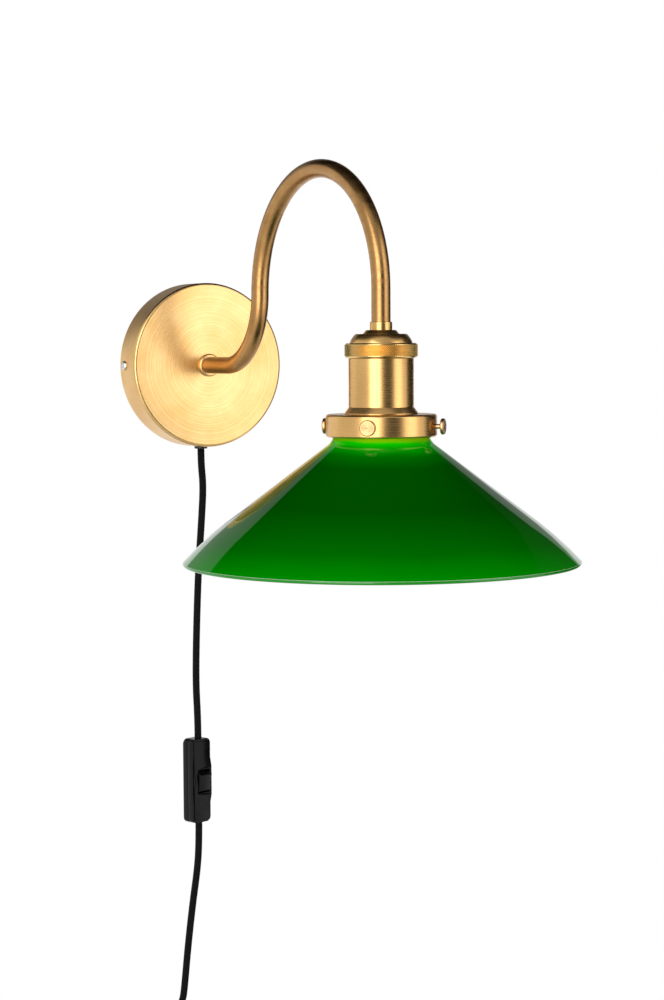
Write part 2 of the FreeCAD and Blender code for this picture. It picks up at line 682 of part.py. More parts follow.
def make_cord_entry():
    bore = cord_r + 0.1
    flange, neck, inner = size("gland_radius"), size("gland_neck"), size("gland_inner")
    inner_under = -canopy_r + canopy_t + 0.3
    cord_piece("cord_gland", [(bore, gland_face), (flange - 0.5, gland_face, 0.5),
                              (flange, gland_face + 0.5), (flange, -canopy_r), (neck, -canopy_r),
                              (neck, inner_under), (inner, inner_under), (inner, gland_top),
                              (bore, gland_top)])
    cord_piece("cord_stop", [(cord_r + 0.05, gland_top), (inner - 1, gland_top),
                             (inner - 1, gland_top + size("stop_length")),
                             (cord_r + 0.05, gland_top + size("stop_length"))])
    sheath_top = (gland_face + size("sheath_length")).value
    radius = cord_r.value
    sheath = Part.makeCylinder(radius, size("sheath_length").value,
                               Vector(0, cord_y.value, gland_face.value), Vector(0, 0, 1))
    solids = [sheath]
    for side in (-1, 1):
        x = side * size("wire_spread").value
        pole = side * size("pole_spread").value
        block_y, foot = -block_middle.value, block_foot_height.value
        corners = [Vector(x, cord_y.value, sheath_top), Vector(x, cord_y.value, sheath_top + 4.0),
                   Vector(pole, block_y, foot - 4.0), Vector(pole, block_y, foot + 6.0)]
        solids.append(tube_along(bent_path(corners, [3.0, 3.0]), size("wire_radius").value, "cord core"))
    fixed_shape("cord_entry", Part.Compound(solids))


# ------------------------------------------------------------------------------------- lampholder

cap_t = size("cap_wall")
base_top = ring_foot - cap_t - 0.3
base_foot = base_top - size("base_height")


def make_holder_top():
    ferrule, tube = size("ferrule_radius"), size("tube_radius") + 0.05
    crown = holder_top + size("ferrule_height")
    lamp_piece("holder_ferrule", [(tube, holder_top), (ferrule, holder_top), (ferrule, crown - 0.5),
                                  (ferrule - 0.5, crown), (tube, crown)])
    lower, upper = holder_top - size("cap_wall") * 2 - 2.5, holder_top + size("nipple_grip")
    lamp_piece("holder_nipple", [(size("nipple_bore"), lower), (nipple_r, lower), (nipple_r, upper),
                                 (size("nipple_bore"), upper)])


def make_cap():
    bore = nipple_r + hole_gap
    foot_r, skirt_r = size("cap_radius"), size("cap_radius") - 0.5
    skirt_foot = cap_foot - size("cap_skirt")
    shoulder_r, shoulder_z = size("shoulder_radius"), holder_top - size("shoulder_drop")
    boss_r, boss_z = size("boss_radius"), holder_top - size("boss_height")
    dome = size("dome_round")
    lamp_piece("lampholder_cap", [
        (skirt_r - cap_t, skirt_foot), (skirt_r, skirt_foot), (skirt_r, cap_foot), (foot_r, cap_foot, dome),
        (shoulder_r, shoulder_z), (boss_r, boss_z), (size("boss_top_radius"), holder_top),
        (bore, holder_top), (bore, shoulder_z - cap_t), (shoulder_r - cap_t, shoulder_z - cap_t, -dome),
        (skirt_r - cap_t, cap_foot)])


def make_knurled_ring():
    gap, edge = size("turning_gap"), size("ring_chamfer")
    inner = size("cap_radius") - 0.5 + gap
    outer = size("ring_radius")
    top, foot = cap_foot - gap, ring_foot + gap
    lamp_piece("knurled_ring", [(inner, foot), (outer - edge, foot), (outer, foot + edge),
                                (outer, top - edge), (outer - edge, top), (inner, top)])


def make_holder_body():
    radius, flare, rise = size("body_radius"), size("flare_radius"), size("flare_height")
    inner = radius - cap_t
    neck = size("cap_radius") - 0.5 - cap_t - hole_gap
    groove, groove_foot = size("foot_groove"), body_foot + rise
    lamp_piece("lampholder_body", [
        (inner, body_foot), (flare, body_foot), (flare, body_foot + 0.6), (radius, groove_foot),
        (radius - groove, groove_foot), (radius - groove, groove_foot + groove),
        (radius, groove_foot + groove), (radius, ring_foot), (neck, ring_foot), (neck, ring_foot + size("cap_skirt") * 0.7),
        (neck - cap_t, ring_foot + size("cap_skirt") * 0.7), (neck - cap_t, ring_foot - cap_t),
        (inner, ring_foot - cap_t)])


def make_socket():
    sleeve, sleeve_t = size("sleeve_radius"), size("sleeve_wall")
    sleeve_end = base_foot - size("sleeve_length")
    lamp_piece("lampholder_sleeve", [(sleeve - sleeve_t, sleeve_end), (sleeve, sleeve_end),
                                     (sleeve, base_foot), (sleeve - sleeve_t, base_foot)])
    lamp_piece("lampholder_base", [(0, base_foot), (sleeve, base_foot), (sleeve, base_top - 1),
                                   (sleeve - 1, base_top), (0, base_top)])
    shell, shell_t = size("shell_radius"), size("shell_wall")
    shell_foot = base_foot - size("shell_length")
    lamp_piece("thread_shell", [(shell - shell_t, shell_foot), (shell, shell_foot), (shell, base_foot),
                                (shell - shell_t, base_foot)])
    posts = []
    for index, side in enumerate((-size("terminal_spread"), size("terminal_spread"))):
        post = Piece(f"terminal_{index}", keep=False)
        post.pad(TOP, circles=[(side, 0, size("terminal_radius"))], start=base_top,
                 length=size("terminal_height")).place(y=-reach)
        posts.append(post)
    gather("base_terminals", posts)
    tip = base_foot - 7.0
    strip = [(-9, base_foot), (-9, base_foot - 0.6), (-5, base_foot - 0.6), (0, tip), (3, tip),
             (3, tip + 0.6), (0.4, tip + 0.6), (-4.6, base_foot)]
    Piece("centre_contact").pad(FRONT, [strip], start=-2.5, length=5).place(y=-reach)


def make_gallery():
    outer, wall, top_round = size("gallery_radius"), size("gallery_wall"), size("gallery_edge")
    bore = size("sleeve_radius") + hole_gap
    edge = size("gallery_chamfer")
    inner_round = top_round - wall
    piece = Piece("shade_gallery").turn(FRONT, [
        (outer - wall, gallery_foot), (outer - edge, gallery_foot), (outer, gallery_foot + edge),
        (outer, body_foot - top_round, top_round), (outer - top_round, body_foot), (bore, body_foot),
        (bore, gallery_under), (outer - top_round, gallery_under, -inner_round),
        (outer - wall, body_foot - top_round)])
    hole = size("thumb_radius") + 0.1
    piece.pocket(SIDE, circles=[(0, screw_height, hole)], start=-outer - 1, length=outer * 2 + 2)
    piece.pocket(FRONT, circles=[(0, screw_height, hole)], start=-outer - 1, length=outer * 2 + 2)
    piece.place(y=-reach, rotation=Rotation(Vector(0, 0, 1), -size("screw_angle").value))
    lamp_piece("shade_ring", [(bore, gallery_under - size("shade_ring_height")),
                              (size("shade_ring_radius"), gallery_under - size("shade_ring_height")),
                              (size("shade_ring_radius"), gallery_under), (bore, gallery_under)])


def make_thumb_screws():
    """Four screws at right angles; local Z is a screw's axis and points outwards."""
    stem, head, height = size("thumb_radius"), size("thumb_head"), size("thumb_height")
    soft, gap = size("thumb_round"), size("screw_gap")
    tip = size("neck_radius") + gap
    under = size("gallery_radius") + gap
    grip = under - tip
    outline = [(0, 0), (stem - 0.4, 0), (stem, 0.4), (stem, grip), (head - soft, grip, soft),
               (head, grip + soft), (head, grip + height - soft, soft), (head - soft, grip + height),
               (0.5, grip + height), (0, grip + height - 0.35)]
    for name, quarter, backed_out in (("front", 0, 0.0), ("left", 1, 0.0), ("back", 2, 0.0),
                                      ("right", 3, size("screw_backed_out"))):
        angle = math.radians(size("screw_angle").value + 90 * quarter)
        outward = Vector(-math.sin(angle), -math.cos(angle), 0)
        distance = tip + backed_out
        screw = Piece(f"thumb_screw_{name}").turn(FRONT, outline)
        screw.place(x=distance * outward.x, y=distance * outward.y - reach, z=screw_height,
                    rotation=Rotation(Vector(0, 0, 1), outward))


# ------------------------------------------------------------------------------------ glass shade


def make_shade():
    neck, wall, angle = size("neck_radius"), size("glass_wall"), size("cone_angle")
    lip, top = size("lip_radius"), gallery_under - 0.3
    lip_foot = top - size("lip_height")
    meet = gallery_foot - size("cone_top")
    take = size("neck_tangent")
    neck_end = meet + take
    cone_start = (neck + take * cosine(angle), meet - take * sine(angle))
    skirt = size("rim_radius") - size("rim_width")
    cone_end = (skirt, meet - (skirt - neck) * tangent(angle))
    rim = (size("rim_radius"), cone_end[1] - size("rim_fall"))
    across = (wall * sine(angle), wall * cosine(angle))
    rim_wall, slope = size("rim_wall"), size("rim_slope")
    rim_across = (rim_wall * sine(slope), rim_wall * cosine(slope))
    rim_tip = (rim[0] - (rim_across[0] - rim_across[1]) / 2, rim[1] - (rim_across[1] + rim_across[0]) / 2)
    bend, rim_end = size("neck_round"), rim_wall / 2
    lamp_piece("glass_shade", [
        (neck - wall, top), (neck - wall, neck_end, bend + wall),
        (cone_start[0] - across[0], cone_start[1] - across[1]),
        (cone_end[0] - across[0], cone_end[1] - across[1], -size("rim_inner_round")),
        (rim[0] - rim_across[0], rim[1] - rim_across[1], rim_end),
        (rim_tip[0], rim_tip[1], rim_end), (rim[0], rim[1], size("rim_round")), (cone_end[0], cone_end[1]),
        (cone_start[0], cone_start[1], -bend), (neck, neck_end), (neck, lip_foot),
        (lip, lip_foot), (lip, top - 1, 1), (lip - 1, top)])


# ------------------------------------------------------------------------------------------- bulb


def make_bulb():
    cap_r, cap_l = size("bulb_cap_radius"), size("bulb_cap_length")
    tip_top = base_foot - 7.0 - 0.3
    cap_top = tip_top - size("bulb_tip_height")
    cap_end = cap_top - cap_l
    globe_r, wall, neck = size("bulb_radius"), size("bulb_wall"), size("bulb_neck_radius")
    globe_end = tip_top - size("bulb_length")
    middle = globe_end + globe_r
    tip_r = size("bulb_tip_radius")
    shoulder = (tip_r + 2, cap_top)
    lamp_piece("bulb_contact", [(0, cap_top), (tip_r, cap_top), (tip_r - 1.5, tip_top), (0, tip_top)])
    lamp_piece("bulb_cap", [
        (cap_r - 0.6, cap_end), (cap_r, cap_end), (cap_r, cap_top - 3), shoulder, (0, cap_top),
        (0, cap_top - 0.8), (shoulder[0] - 0.4, cap_top - 0.8), (cap_r - 0.6, cap_top - 3.4)])
    side = (globe_r, middle)
    lamp_piece("bulb_globe", [
        (neck, cap_end + 6), (neck - wall, cap_end + 6), (neck - wall, cap_end - 1),
        (globe_r - wall, middle, wall - globe_r), (0, globe_end + wall), (0, globe_end, globe_r), side,
        (neck + 1.2, cap_end - 1), (neck + 1.2, cap_end), (neck, cap_end)])


# ----------------------------------------------------------------------------- the cord's free runs

# Hand-chosen points of the cord's way, in order, as (x, y, z).
UPPER_ROUTE = [(0.0, -9.5, -61.65), (0.0, -9.5, -73.0), (1.7, -9.4, -89.0), (0.2, -9.3, -113.0),
               (-2.9, -9.2, -151.0), (-5.0, -9.2, -196.0), (-6.1, -9.3, -236.0), (-4.8, -9.5, -263.0),
               (-4.8, -9.5, -278.0)]
LOWER_ROUTE = [(-4.8, -9.5, -341.0), (-4.8, -9.5, -353.0), (-5.9, -9.4, -374.0), (-10.4, -9.2, -402.0),
               (-14.6, -8.6, -436.0), (-17.0, -7.8, -463.0), (-18.6, -7.2, -477.0), (-27.0, -6.5, -489.5),
               (-39.5, -6.0, -499.5), (-45.375, -5.8, -511.0)]


def switch_axis_x():
    return UPPER_ROUTE[-1][0]


def make_free_cord(name, route, end=None):
    corners = [Vector(*point) for point in route]
    if end is not None:
        corners.append(end)
    radii = largest_radii(corners)
    print(f"{name}: radii", " ".join(f"{radius:.0f}" for radius in radii))
    fixed_shape(name, tube_along(bent_path(corners, radii), cord_r.value, name))


# ------------------------------------------------------------------------------- coil of spare cord

QUARTERS_PER_LAYER = 7
LAYERS = 4


def coil_point(angle):
    """The coil's centreline at an angle from its start, and the heading there."""
    pitch = size("coil_pitch").value
    layer_angle = QUARTERS_PER_LAYER * math.pi / 2
    outer = size("coil_mean").value + pitch * QUARTERS_PER_LAYER / 8
    layer = min(int(angle / layer_angle), LAYERS - 1)
    within = angle - layer * layer_angle
    inward = within if layer % 2 == 0 else layer_angle - within
    radius = outer - pitch * inward / (2 * math.pi)
    depth = float(layer)
    to_next = (layer + 1) * layer_angle - angle
    from_last = angle - layer * layer_angle
    if to_next < math.pi / 2 and layer < LAYERS - 1:
        depth = layer + 0.5 - to_next / math.pi
    elif from_last < math.pi / 2 and layer > 0:
        depth = layer - 0.5 + from_last / math.pi
    turn = math.pi + angle
    return Vector(radius * math.cos(turn) - size("coil_side").value,
                  -size("coil_depth").value - depth * pitch,
                  radius * math.sin(turn) - size("coil_drop").value)


def coil_heading(angle):
    if angle <= 0 or angle >= LAYERS * QUARTERS_PER_LAYER * math.pi / 2:
        return Vector(0, 0, -1)
    step = 1e-4
    return (coil_point(angle + step) - coil_point(angle - step)).normalize()


def biarc(start, start_heading, end, end_heading):
    """Two tangent arcs between two points with given headings."""
    across = end - start
    both = start_heading + end_heading
    squeeze = 2 * (1 - start_heading.dot(end_heading))
    along = across.dot(both)
    reach_out = (-along + math.sqrt(along ** 2 + squeeze * across.dot(across))) / squeeze
    first, second = start + start_heading * reach_out, end - end_heading * reach_out
    middle = (first + second) * 0.5
    edges = []
    for a, corner, b in ((start, first, middle), (middle, second, end)):
        half = (b - a).Length / 2
        foot = (a + b) * 0.5
        height = (corner - foot).Length
        bulge = half * math.tan(math.atan2(height, half) / 2)
        edges.append(Part.Arc(a, foot + (corner - foot).normalize() * bulge, b).toShape())
    return edges


def make_coil():
    """Turns that spiral in and out through four layers, one unbroken tube; ends run straight."""
    quarters = LAYERS * QUARTERS_PER_LAYER
    stub = Vector(0, 0, -2 * cord_r.value)
    angles = [k * math.pi / 2 for k in range(quarters + 1)]
    points = [coil_point(angle) for angle in angles]
    edges = [Part.LineSegment(points[0] - stub, points[0]).toShape()]
    for before, after, a0, a1 in zip(points, points[1:], angles, angles[1:]):
        edges += biarc(before, coil_heading(a0), after, coil_heading(a1))
    edges.append(Part.LineSegment(points[-1], points[-1] + stub).toShape())
    path = Part.Wire(edges)
    fixed_shape("cord_coil", tube_along(path, cord_r.value, "cord_coil"))
    samples = [coil_point(k * math.pi / 24) for k in range(12 * quarters + 1)]
    apart = 12
    nearest = min((samples[a] - samples[b]).Length
                  for a in range(len(samples)) for b in range(a + apart, len(samples)))
    print(f"cord_coil: {quarters / 4:.2f} turns, least gap to itself {nearest - 2 * cord_r.value:.2f}")
    return points[0] - stub, points[-1] + stub


def make_tie():
    """A band round the bundle of turns, upper left, where the cord joins it."""
    pitch = size("coil_pitch")
    slack = size("tie_slack")
    half_width = pitch * (QUARTERS_PER_LAYER / 8) + cord_r + size("tie_gap") + slack
    half_depth = pitch * 1.5 + cord_r + size("tie_gap")
    band = size("tie_thickness")
    piece = Piece("coil_tie")
    inner = rounded_outline(half_width, half_depth, 2.0)
    outer = rounded_outline(half_width + band, half_depth + band, as_size(2.0) + band)
    piece.pad(TOP, [outer, inner], start=-size("tie_width") / 2, length=size("tie_width"))
    angle = size("tie_angle")
    middle = size("coil_mean") + slack - 0.3
    piece.place(x=middle * cosine(angle) - size("coil_side"), y=-size("coil_depth") - pitch * 1.5,
                z=middle * sine(angle) - size("coil_drop"),
                rotation=Rotation(Vector(0, 1, 0), -angle.value))


# -------------------------------------------------------------------------------------- switch

switch_half = size("switch_length") / 2
switch_half_width = size("switch_width") / 2
case_t = size("shell_thickness")
cover_back = size("parting_depth")
cover_front = cover_back - size("cover_depth")
face_low = cover_front - size("face_low")
face_high = cover_front - size("face_high")
base_front = cover_back + size("parting_gap")
base_back = base_front + size("base_depth")
pivot = -size("pin_depth")
screw_boss = size("case_screw_head") + 0.8
head_sink = as_size(1.1)


def place_switch(piece):
    """Local Y points to the wall, Z along the cord; the whole switch is turned about the cord."""
    return piece.place(x=switch_axis_x(), y=cord_y, z=-size("switch_height") - switch_half,
                       rotation=Rotation(Vector(0, 0, 1), size("switch_turn").value))


def switch_screw_spots():
    side, end = size("case_screw_side"), size("case_screw_end")
    return [(side, end), (-side, -end)]


def make_switch_base():
    piece = Piece("switch_base")
    outline = rounded_outline(switch_half_width, switch_half, size("switch_corner"))
    piece.pad(FRONT, [outline], start=-base_back, length=size("base_depth"))
    hollow = rounded_outline(switch_half_width - case_t, switch_half - case_t,
                             size("switch_corner") - case_t)
    piece.pocket(FRONT, [hollow], start=-base_back + case_t, length=size("base_depth"))
    spots = switch_screw_spots()
    piece.pad(FRONT, circles=[(u, v, screw_boss) for u, v in spots], start=-base_back + case_t / 2,
              length=size("base_depth") - case_t / 2)
    holes = [(u, v, size("case_screw_radius") + 0.1) for u, v in spots]
    piece.pocket(FRONT, circles=holes, start=-base_back - 1, length=size("base_depth") + 2)
    heads = [(u, v, size("case_screw_head") + 0.2) for u, v in spots]
    piece.pocket(FRONT, circles=heads, start=-base_back - 1, length=as_size(1) + head_sink)
    piece.pocket(TOP, circles=[(0, 0, cord_r + 0.1)], start=-switch_half - 1,
                 length=size("switch_length") + 2)
    place_switch(piece)


def make_switch_cover():
    """Front half shell: a lip, and a raised face that swells up to the rocker's window."""
    piece = Piece("switch_cover")
    outline = rounded_outline(switch_half_width, switch_half, size("switch_corner"))
    piece.pad(FRONT, [outline], start=-cover_back, length=size("cover_depth"))
    face_half = switch_half_width - size("face_inset")
    end = switch_half - size("face_end_inset")
    foot, crest = size("face_ramp_start"), size("face_ramp_end")
    under = cover_front + case_t / 2
    side_view = [(under, -end), (under, end), (face_low, end), (face_low, foot), (face_high, crest),
                 (face_high, -crest), (face_low, -foot), (face_low, -end)]
    piece.pad(SIDE, [side_view], start=-face_half, length=face_half * 2)
    hollow = rounded_outline(switch_half_width - case_t, switch_half - case_t,
                             size("switch_corner") - case_t)
    piece.pocket(FRONT, [hollow], start=-cover_back - 1, length=size("cover_depth") + 1 - case_t)
    room = face_half - case_t
    for half_length, front in ((end - case_t, face_low), (crest, face_high)):
        piece.pocket(FRONT, [box_outline(-room, room, -half_length, half_length)],
                     start=-cover_back, length=cover_back - front - case_t)
    cheek_in = size("rocker_width") / 2 + size("rocker_gap")
    cheek_out = switch_half_width - case_t / 2
    for inner, outer in ((-cheek_out, -cheek_in), (cheek_in, cheek_out)):
        piece.pad(FRONT, [box_outline(inner, outer, -3.0, 3.0)], start=-cover_back + 0.4,
                  length=cover_back - 0.4 - face_high - case_t / 2)
    window = box_outline(-cheek_in, cheek_in, -size("rocker_half") - size("rocker_end_gap"),
                         size("rocker_half") + size("rocker_end_gap"))
    piece.pocket(FRONT, [window], start=-cover_back, length=cover_back - face_high + 1)
    piece.pocket(SIDE, circles=[(pivot, 0, size("pin_radius") + 0.05)], start=-cheek_out + 0.4,
                 length=(cheek_out - 0.4) * 2)
    spots = switch_screw_spots()
    piece.pad(FRONT, circles=[(u, v, screw_boss) for u, v in spots], start=-cover_back,
              length=size("cover_depth") - case_t / 2)
    holes = [(u, v, size("case_screw_radius") + 0.1) for u, v in spots]
    piece.pocket(FRONT, circles=holes, start=-cover_back - 1, length=size("cover_depth") - case_t + 1.3)
    piece.pocket(TOP, circles=[(0, 0, cord_r + 0.1)], start=-switch_half - 1,
                 length=size("switch_length") + 2)
    place_switch(piece)


def rocker_outline(lean):
    """Side view of the rocker at its pressed position, leaning by an angle about the pin."""
    face, crest, half = size("rocker_face"), size("rocker_crest"), size("rocker_half")
    corners = [(-face + 3.4, -half), (-face, -crest), (-face + 0.45, as_size(0)), (-face, crest),
               (-face + 3.4, half), (-face + 5.0, half), (as_size(2.2), as_size(3.4)),
               (as_size(2.2), as_size(-3.4)), (-face + 5.0, -half)]
    cos, sin = cosine(lean), sine(lean)
    return [(pivot + u * cos - v * sin, u * sin + v * cos) for u, v in corners]


def make_rocker():
    half = size("rocker_width") / 2
    lean = size("rocker_tilt")
    piece = Piece("switch_rocker").pad(SIDE, [rocker_outline(lean)], start=-half, length=half * 2)
    piece.pocket(SIDE, circles=[(pivot, 0, size("pin_radius") + size("pin_gap"))], start=-half - 1,
                 length=half * 2 + 2)
    place_switch(piece)
    pin = Piece("rocker_pin")
    span = switch_half_width - case_t / 2 - 0.5
    pin.pad(SIDE, circles=[(pivot, 0, size("pin_radius"))], start=-span, length=span * 2)
    place_switch(pin)
    cos, sin = cosine(lean), sine(lean)
    strip = [(2.2, -3.2), (2.7, -3.2), (2.7, 3.2), (2.2, 3.2)]
    leaned = [(pivot + cos * u - sin * v, sin * u + cos * v) for u, v in strip]
    place_switch(Piece("contact_bridge").pad(SIDE, [leaned], start=-1.5, length=3))


def make_switch_inside():
    """Contact springs, terminals, cord saddles and case screws: two of each."""
    floor = base_back - case_t
    strip = as_size(0.6)
    spread = size("lead_spread")
    tip = as_size(1.8)
    contacts, terminals, saddles, screws = [], [], [], []
    for index, way in enumerate((-1, 1)):
        contact = Piece(f"contact_{index}", keep=False)
        side_view = [(floor, 2 * way), (floor, 17 * way), (floor - strip, 17 * way),
                     (floor - strip, 2.6 * way), (tip + strip, 2.6 * way), (tip + strip, 4 * way),
                     (tip, 4 * way), (tip, 2 * way)]
        contact.pad(SIDE, [side_view], start=-1.5, length=3)
        contacts.append(place_switch(contact))
        terminal = Piece(f"switch_terminal_{index}", keep=False)
        low, high = sorted((way * 13.0, way * 19.0))
        terminal.pad(FRONT, [box_outline(-spread - 2.3, -spread + 1.5, low, high)],
                     start=-floor + strip, length=floor - strip + 1.6)
        bore = (-spread, 0, size("lead_radius") + 0.1)
        terminal.pocket(TOP, circles=[bore], start=low - 1, length=8)
        terminals.append(place_switch(terminal))
        saddle = Piece(f"saddle_{index}", keep=False)
        low, high = sorted((way * 27.0, way * 29.6))
        saddle.pad(TOP, [box_outline(-5.5, 5.5, 0.6, floor - 0.3)], start=low, length=high - low)
        saddle.pocket(TOP, circles=[(0, 0, cord_r + 0.05)], start=low - 1, length=high - low + 2)
        saddles.append(place_switch(saddle))
    for index, (u, v) in enumerate(switch_screw_spots()):
        screw = Piece(f"case_screw_{index}", keep=False)
        head_back = head_sink - 0.2 - base_back
        screw.pad(FRONT, circles=[(u, v, size("case_screw_head"))], start=head_back - 0.9, length=0.9)
        screw.pad(FRONT, circles=[(u, v, size("case_screw_radius"))], start=head_back, length=7.0)
        screws.append(place_switch(screw))
    gather("switch_contacts", contacts)
    gather("switch_terminals", terminals)
    gather("switch_saddles", saddles)
    gather("switch_screws", screws)


def make_switch_leads():
    """Sheath ends, the two switched cores and the core that runs past the contacts."""
    half, sheath, core = switch_half.value, cord_r.value, size("lead_radius").value
    inner = half - size("lead_length").value
    spread = size("lead_spread").value
    solids = []
    for way in (-1, 1):
        solids.append(Part.makeCylinder(sheath, half - inner, Vector(0, 0, way * inner), Vector(0, 0, way)))
        solids.append(Part.makeCylinder(core, 7.0, Vector(-spread, 0, way * inner), Vector(0, 0, -way)))
    corners = [Vector(spread, 0, inner), Vector(spread, 0, inner - 2), Vector(4.3, 3.0, 12.0),
               Vector(4.3, 3.0, -12.0), Vector(spread, 0, 2 - inner), Vector(spread, 0, -inner)]
    solids.append(tube_along(bent_path(corners, [3.0, 6.0, 6.0, 3.0]), core, "switch lead"))
    feature = fixed_shape("switch_leads", Part.Compound(solids))
    middle = -size("switch_height").value - half
    feature.Placement = Placement(Vector(switch_axis_x(), cord_y.value, middle),
                                  Rotation(Vector(0, 0, 1), size("switch_turn").value))


# ---------------------------------------------------------------------------------------- plug


def oblong(half_width, half_depth, height):
    """A closed wire with round ends, in a level plane."""
    flat = half_width - half_depth
    a, b = Vector(-flat, -half_depth, height), Vector(flat, -half_depth, height)
    c, d = Vector(flat, half_depth, height), Vector(-flat, half_depth, height)
    right, left = Vector(half_width, 0, height), Vector(-half_width, 0, height)
    return Part.Wire([Part.LineSegment(a, b).toShape(), Part.Arc(b, right, c).toShape(),
                      Part.LineSegment(c, d).toShape(), Part.Arc(d, left, a).toShape()])


def make_plug(top):
    """Two-pin plug that hangs from the coil's end; its body is a loft from sleeve to face."""
    length, sleeve = size("plug_length").value, size("plug_sleeve").value
    wide, deep = size("plug_width").value / 2, size("plug_depth").value / 2
    waist, waist_deep = size("plug_waist").value / 2, size("plug_waist_depth").value / 2
    shoulder = -sleeve - length * 0.62
    sections = [(waist, waist_deep, -sleeve), (waist + 1.5, waist_deep + 0.3, -sleeve - length * 0.2),
                (wide, deep, shoulder)]
    hood = Part.makeLoft([oblong(*section) for section in sections], True, False)
    block = Part.makeLoft([oblong(wide, deep, shoulder), oblong(wide, deep, -sleeve - length)], True)
    bush = Part.makeCone(cord_r.value + 0.9, waist_deep - 0.6, sleeve, Vector(0, 0, 0), Vector(0, 0, -1))
    body = hood.fuse([block, bush]).removeSplitter()
    body.translate(top)
    fixed_shape("plug_body", body)
    prongs = []
    for side in (-0.5, 0.5):
        foot = Vector(side * size("prong_spacing").value, 0, -sleeve - length)
        radius = size("prong_radius").value
        straight = size("prong_length").value - radius
        prong = Part.makeCylinder(radius, straight, foot, Vector(0, 0, -1))
        prong = prong.fuse(Part.makeSphere(radius, foot - Vector(0, 0, straight))).removeSplitter()
        prong.translate(top)
        prongs.append(prong)
    fixed_shape("plug_pins", Part.Compound(prongs))


# ---------------------------------------------------------------------------------------- build

make_bracket()
make_canopy()
make_canopy_screws()
make_arm_mount()
make_arm()
make_terminal_block()
make_arm_wires()
make_cord_entry()
make_holder_top()
make_cap()
make_knurled_ring()
make_holder_body()
make_socket()
make_gallery()
make_thumb_screws()
make_shade()
make_bulb()
make_free_cord("cord_upper", UPPER_ROUTE)
coil_start, coil_end = make_coil()
make_free_cord("cord_lower", LOWER_ROUTE, coil_start)
make_tie()
make_switch_base()
make_switch_cover()
make_rocker()
make_switch_inside()
make_switch_leads()
make_plug(coil_end)
doc.recompute()

faults = []
for item in doc.Objects:
    if "Invalid" in item.State or "Error" in item.State:
        faults.append(f"{item.Name}: {item.State}")
for label, item in pieces.items():
    if item.Shape.isNull() or not item.Shape.isValid() or not item.Shape.Solids:
        faults.append(f"{label}: no valid solid")
if faults:
    raise RuntimeError("; ".join(faults))

os.makedirs("parts", exist_ok=True)
for label, item in pieces.items():
    item.Label = label
    item.Shape.exportStep(f"parts/{label}.step")
    print(f"{label}: {len(item.Shape.Solids)} solid(s), {item.Shape.Volume:.1f} mm3")
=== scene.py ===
# %% [markdown]
# # A gooseneck wall light in brass and green glass
# The lamp hangs on a wall: a round canopy, a tube that swings up and over in an arch, a
# lampholder with a knurled ring, and a cone of cased glass held by four thumb screws. A braided
# cord leaves the canopy, runs through a rocker switch and ends, coiled, in a plug.
# The measured solids come in first. They fix every size and every moving body, and the pieces
# made below are laid over them at the same places.

# %% Load the measured lamp
import json
import math

import bmesh
import bpy
from mathutils import Matrix, Vector


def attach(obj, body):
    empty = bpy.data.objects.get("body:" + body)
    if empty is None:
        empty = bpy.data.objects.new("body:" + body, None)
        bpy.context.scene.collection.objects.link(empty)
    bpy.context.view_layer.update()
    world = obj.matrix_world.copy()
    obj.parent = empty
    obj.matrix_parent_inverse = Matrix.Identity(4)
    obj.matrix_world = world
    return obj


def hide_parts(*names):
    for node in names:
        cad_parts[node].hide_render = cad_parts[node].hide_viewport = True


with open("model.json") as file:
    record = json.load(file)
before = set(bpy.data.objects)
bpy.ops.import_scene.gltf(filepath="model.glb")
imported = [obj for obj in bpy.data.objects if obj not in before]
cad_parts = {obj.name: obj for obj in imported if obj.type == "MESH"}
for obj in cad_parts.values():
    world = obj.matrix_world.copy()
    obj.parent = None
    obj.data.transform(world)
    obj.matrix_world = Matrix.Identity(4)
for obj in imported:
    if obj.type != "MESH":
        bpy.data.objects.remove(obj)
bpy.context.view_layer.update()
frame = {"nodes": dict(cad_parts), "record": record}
MM = 0.001
LAMP_Y = -266 * MM

# %% [markdown]
# ## The camera
# The photograph was taken from the left of the lamp, slightly above its middle, with a long
# lens. A turn about Z, a tilt and a very small roll put our camera at the same place.

# %% Camera
CAMERA_PLACE = (-0.71465, -1.43601, 0.01371)
CAMERA_TURN, CAMERA_DIP, CAMERA_ROLL = -30.09, 4.10, -0.319
LENS = 77.5
camera_data = bpy.data.cameras.new("camera")
camera = bpy.data.objects.new("camera", camera_data)
bpy.context.scene.collection.objects.link(camera)
bpy.context.scene.camera = camera
camera_data.sensor_fit = "VERTICAL"
camera_data.sensor_height = 36
camera_data.lens = LENS
camera_data.clip_start = 0.05
yaw = Matrix.Rotation(math.radians(CAMERA_TURN), 4, "Z")
tilt = Matrix.Rotation(math.radians(90 - CAMERA_DIP), 4, "X")
roll = Matrix.Rotation(math.radians(CAMERA_ROLL), 4, "Z")
camera.matrix_world = Matrix.Translation(CAMERA_PLACE) @ yaw @ tilt @ roll
print("camera at", [round(value, 3) for value in camera.location])

# %% [markdown]
# ## Three small helpers for materials
# Colours are written as the hex values that a paint chart or a picture editor shows, so one
# function turns them into the linear light that Blender works in. The second adds a node with
# its settings and its links in one line, and the third starts a material and hands out its
# surface shader.

# %% Colour, node and material helpers


def hex_colour(code):
    channels = [int(code[k:k + 2], 16) / 255 for k in (1, 3, 5)]
    linear = [c / 12.92 if c <= 0.04045 else ((c + 0.055) / 1.055) ** 2.4 for c in channels]
    return (*linear, 1.0)


def add_node(material, kind, settings=None, links=None, **attributes):
    node = material.node_tree.nodes.new(kind)
    for name, value in attributes.items():
        setattr(node, name, value)
    for socket, value in (settings or {}).items():
        node.inputs[socket].default_value = value
    for socket, source in (links or {}).items():
        material.node_tree.links.new(source, node.inputs[socket])
    return node


